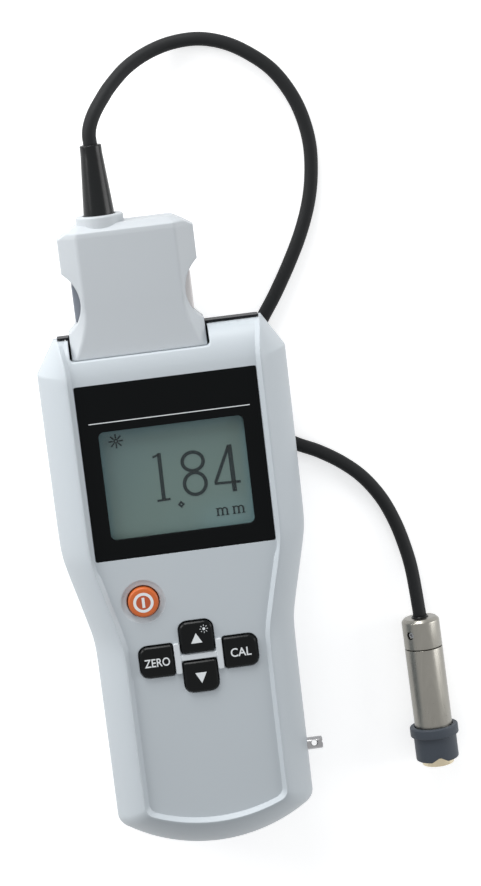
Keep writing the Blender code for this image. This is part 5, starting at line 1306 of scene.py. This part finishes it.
# %% Release tabs
def tab(name, side):
    """A push pad with a rounded edge that stands in the scoop, on a flange behind the wall."""
    inner, front_x = CAVITY_HALF - GAP, PLUG_HALF - 0.0024
    edge, flange = 0.0006, 0.0014

    def ring(x, margin):
        corner = max(0.0003, 0.0008 + margin)
        xy = rounded_outline(0, 0, TAB_LENGTH + 2 * margin, TAB_HEIGHT + 2 * margin, corner, 6)
        return np.column_stack([np.full(len(xy), PLUG_X + side * x), SCALLOP_Y + xy[:, 0], CABLE_Z + xy[:, 1]])

    rings = [ring(inner - 0.0012, flange), ring(inner, flange), ring(inner, 0)]
    rings += [ring(front_x - edge + edge * sin(t), -edge * (1 - cos(t))) for t in np.linspace(0, pi / 2, 6)]
    rings.append(ring(front_x, -0.0008))
    return bar(name, rings)


# Both tabs are the same grey plastic: the left one's darker grey is painted shade, the right one's paler grey is
# painted light.
tab_painted_shade = moulded("tab_grey_painted_shade", colour(126, 131, 140), 0.45, shine=0.2, tone=0.03)
tab_painted_light = moulded("tab_grey_painted_light", colour(224, 220, 219), 0.45, shine=0.3, tone=0.02)
finish_piece(tab("tab_left", -1), "release_tab_left", tab_painted_shade, ["release_tab_left"])
finish_piece(tab("tab_right", 1), "release_tab_right", tab_painted_light, ["release_tab_right"])
print("plug done")

# %% [markdown]
# ## The probe
#
# Everything here is turned on a lathe, so each piece is a profile carried round the probe's axis.
# The sleeve's lip has a small notch, which lines the probe up with a mark on a round workpiece. The
# notch can't be turned, so its points are pulled in near one angle.

# %% Turned pieces of the probe
def on_probe(name, profile, body, material, stands_for, soft, hollow=False):
    form = turned_form(softened(profile, soft), probe_start, probe_axis, 128, hollow=hollow)
    return finish_piece(form.piece(name), body, material, stands_for)


TAIL_LENGTH, TUBE_END, TUBE_BORE = 0.0090, 0.0409, 0.0045
cap_profile = [(0, 0.0004), (0, TUBE_RADIUS - TAIL_CHAMFER), (TAIL_CHAMFER, TUBE_RADIUS),
               (TAIL_LENGTH - 0.00012, TUBE_RADIUS), (TAIL_LENGTH, TUBE_RADIUS - 0.00012),
               (TAIL_LENGTH, 0.0042), (TAIL_LENGTH + 0.003, 0.0042)]
cap_profile = softened(cap_profile, [0, 0.0002, 0.0003, 0.0001, 0.0001, 0, 0])
tail_cap = turned_form(cap_profile, probe_start, probe_axis, 128).piece("tail_cap")
across = np.cross((0, 0, 1), probe_axis)
across /= np.linalg.norm(across)
upward = np.cross(probe_axis, across)
screw_way = upward * cos(radians(46)) - across * sin(radians(46))
screw_at = probe_start + probe_axis * 0.0045
bore = [(TUBE_RADIUS - 0.0025, 0.0012), (TUBE_RADIUS + 0.001, 0.0012)]
carve(tail_cap, turned_form(bore, screw_at, screw_way, 32).piece("screw_hole"))
finish_piece(tail_cap, "probe_plug", nickel, ["probe_tail_cap"])
grub = softened([(TUBE_RADIUS - 0.0022, 0.0009), (TUBE_RADIUS - 0.0006, 0.0009),
                 (TUBE_RADIUS - 0.0006, 0.00045), (TUBE_RADIUS - 0.0014, 0.0004)], 0.0001)
grub = turned_form(grub, screw_at, screw_way, 32).piece("grub_screw")
finish_piece(grub, "probe_plug", screw_steel, ["probe_set_screw"])
mouth = CORD_RADIUS + 0.0002
grommet = softened([(-0.0004, mouth), (-0.0004, 0.0024), (-0.0001, 0.0026), (-0.0001, mouth)],
                   [0, 0.00015, 0.00005, 0])
grommet = turned_form(grommet, probe_start, probe_axis, 64, hollow=True).piece("grommet")
finish_piece(grommet, "probe_plug", boot_black, ())
on_probe("tube", [(TAIL_LENGTH + GAP, TUBE_BORE), (TAIL_LENGTH + GAP, TUBE_RADIUS), (TUBE_END, TUBE_RADIUS),
                  (TUBE_END, TUBE_BORE)], "probe_plug", nickel, ["probe_tube"], 0.0001, hollow=True)
TIP_RADIUS, POLE_RADIUS = 0.00485, 0.00315
flange_end = SLEEVE_START + FLANGE_LENGTH
inside_lip, around = TIP_RADIUS + GAP, 180
sleeve_profile = softened([(SLEEVE_START, TUBE_RADIUS + 0.0002), (SLEEVE_START, FLANGE_RADIUS),
                           (flange_end, FLANGE_RADIUS), (flange_end, SLEEVE_RADIUS), (SLEEVE_END, SLEEVE_RADIUS),
                           (SLEEVE_END, inside_lip), (SLEEVE_END - 0.0017, inside_lip)],
                          [0, 0.0005, 0.0004, 0.0003, 0.0006, 0.0003, 0], 7)
sleeve_rings = revolve(sleeve_profile, probe_start, probe_axis, around)
angles = np.linspace(0, 2 * pi, around, endpoint=False)
up_angle = float(np.arctan2(*(axes_along(probe_axis)[[1, 0]] @ (0, 0, 1))))
swing = np.abs((angles - up_angle + pi) % (2 * pi) - pi)
bite = np.clip(1 - swing / 0.42, 0, 1)
on_lip = np.clip((sleeve_profile[:, 0] - SLEEVE_END + 0.0022) / 0.0022, 0, 1)[:, None]
on_lip[-1] = 0
sleeve_rings -= (bite * on_lip * 0.0015)[..., None] * probe_axis
sleeve = Form().grid(sleeve_rings, round_rows=True, round_columns=True).piece("sleeve")
finish_piece(sleeve, "probe_plug", sleeve_rubber, ["probe_sleeve"])
TIP_END = SLEEVE_END + 0.0016
seat, shelf, groove = TIP_END - 0.0010, TIP_END - 0.0026, POLE_RADIUS + 0.0001
tip_profile = [(TIP_END - 0.0136, 0.0026), (shelf, 0.0026), (shelf, TIP_RADIUS), (TIP_END, TIP_RADIUS),
               (TIP_END, groove), (seat, groove), (seat, 0.0004)]
on_probe("tip", tip_profile, "probe_plunger", tip_gold, ["probe_plunger"],
         [0, 0.0002, 0.0001, 0.0004, 0.00015, 0, 0])
pole_profile = [(seat, POLE_RADIUS), (TIP_END, POLE_RADIUS), (TIP_END, 0.0011), (TIP_END - 0.0007, 0.0003)]
on_probe("pole", pole_profile, "probe_plunger", tip_gold, ["probe_pole"], [0, 0.00012, 0.0001, 0])
print("probe is", round(TIP_END * 1000, 1), "mm long")

# %% [markdown]
# ## Small metal parts
#
# The post for the wrist strap is a chromed pin with a cross hole. The four case screws sit deep in
# their sinks and show only from behind.

# %% Strap post
wall_in, pin_end = GRIP_WIDTH / 2 - WALL, GRIP_WIDTH / 2 + STRAP_OUT
pin = softened([(wall_in - 0.0026, 0.0029), (wall_in - 0.0015, 0.0029), (wall_in - 0.0015, STRAP_RADIUS),
                (pin_end, STRAP_RADIUS), (pin_end, 0.0003)], [0, 0, 0, 0.0004, 0])
post = turned_form(pin, (0, STRAP_Y, STRAP_Z), (1, 0, 0), 64).piece("strap_pin")
cross = softened([(-0.0022, 0.00125), (-0.0017, 0.0010), (-0.0014, 0.00085), (0.0014, 0.00085), (0.0017, 0.0010),
                  (0.0022, 0.00125)], 0.0002)
cross_at = (GRIP_WIDTH / 2 + 0.45 * STRAP_OUT, STRAP_Y, STRAP_Z)
carve(post, turned_form(cross, cross_at, (0, 0.3, 0.95), 40).piece("cross"))
finish_piece(post, "case", chrome, ["strap_post"])
print("post stands out", STRAP_OUT * 1000, "mm")

# %% [markdown]
# The pieces inside hardly show, so their solids stay as they are and only get a finish.

# %% Finishes of the solids that stay
board_green = moulded("board_green", (0.02, 0.13, 0.06), 0.42, grain=0.00002, size=900, tone=0.25)
cell_jacket = moulded("cell_jacket", (0.06, 0.08, 0.14), 0.3, grain=0.000003, tone=0.1)
screws = [f"{kind}_screw_{k}" for kind in ("board", "case") for k in (1, 2, 3, 4)]
for names, material in ((["socket_connector", "plug_contact_block"], connector_black),
                        (["keypad_mat"], mat_rubber), (["circuit_board"], board_green),
                        (["lcd_frame", "battery_contact", *screws], screw_steel),
                        (["battery_spring_left", "battery_spring_right", "probe_spring"], spring_steel),
                        (["battery_left", "battery_right"], cell_jacket), (["probe_bush"], tip_gold)):
    for name in names:
        paint(nodes[name], material)
print(len(bpy.data.materials), "materials")

# %% [markdown]
# ## Floor and light
#
# The gauge lies on white. The floor shows white to the camera because its colour and a little glow
# add up to it, and not because more light falls on the gauge; its shadow stays. Three soft boxes
# stand low over the table, to the left, to the right and past the top end, which is what makes the
# shoulders of the case and its rolled top brighter than its flat face.

# %% Floor
def mixed_world(surface_tree, plain, seen, out):
    """Camera, glossy and transmission rays see one shader, all others the plain one."""
    new = surface_tree.nodes.new
    path, mix = new("ShaderNodeLightPath"), new("ShaderNodeMixShader")
    first, second = new("ShaderNodeMath"), new("ShaderNodeMath")
    first.operation = second.operation = "MAXIMUM"
    for a, b in ((path.outputs["Is Camera Ray"], first.inputs[0]),
                 (path.outputs["Is Glossy Ray"], first.inputs[1]),
                 (path.outputs["Is Transmission Ray"], second.inputs[1]),
                 (first.outputs[0], second.inputs[0]), (second.outputs[0], mix.inputs[0]),
                 (plain, mix.inputs[1]), (seen, mix.inputs[2]), (mix.outputs[0], out)):
        surface_tree.links.new(a, b)


ticks = np.linspace(-3, 3, 3)
floor = Form().grid(np.stack(np.meshgrid(ticks, ticks, [0.0]), -1)[:, :, 0]).piece("floor")
paper = bpy.data.materials.new("white_paper")
paper.use_nodes = True
tree = paper.node_tree
tree.nodes.clear()
diffuse = tree.nodes.new("ShaderNodeBsdfDiffuse")
diffuse.inputs[0].default_value = (0.8, 0.8, 0.8, 1)
glow = tree.nodes.new("ShaderNodeEmission")
glow.inputs[1].default_value = 0.55
both = tree.nodes.new("ShaderNodeAddShader")
out = tree.nodes.new("ShaderNodeOutputMaterial")
tree.links.new(diffuse.outputs[0], both.inputs[0])
tree.links.new(glow.outputs[0], both.inputs[1])
mixed_world(tree, diffuse.outputs[0], both.outputs[0], out.inputs[0])
floor.data.materials.append(paper)
print("floor is", ticks[-1] - ticks[0], "m wide")

# %% World and lamps
world = bpy.data.worlds.new("studio")
scene.world = world
world.use_nodes = True
tree = world.node_tree
tree.nodes.clear()
low = tree.nodes.new("ShaderNodeBackground")
low.inputs[0].default_value, low.inputs[1].default_value = (0.96, 0.98, 1.0, 1), 0.46
seen = tree.nodes.new("ShaderNodeBackground")
seen.inputs[1].default_value = 1.0
out = tree.nodes.new("ShaderNodeOutputWorld")
mixed_world(tree, low.outputs[0], seen.outputs[0], out.inputs[0])


def soft_box(name, place, size, watts):
    data = bpy.data.lights.new(name, "AREA")
    data.shape, data.size, data.size_y, data.energy = "RECTANGLE", size[0], size[1], watts
    thing = bpy.data.objects.new(name, data)
    thing.location = place
    thing.rotation_euler = (Vector((0, 0.03, 0)) - Vector(place)).to_track_quat("-Z", "Y").to_euler()
    scene.collection.objects.link(thing)


soft_box("left_box", (-0.55, 0.35, 0.22), (0.34, 0.34), 2.55)
soft_box("top_box", (-0.12, 0.75, 0.25), (0.40, 0.30), 4.3)
soft_box("right_box", (0.80, 0.05, 0.16), (0.3, 0.7), 3.2)
print("three soft boxes and a world at", low.inputs[1].default_value)
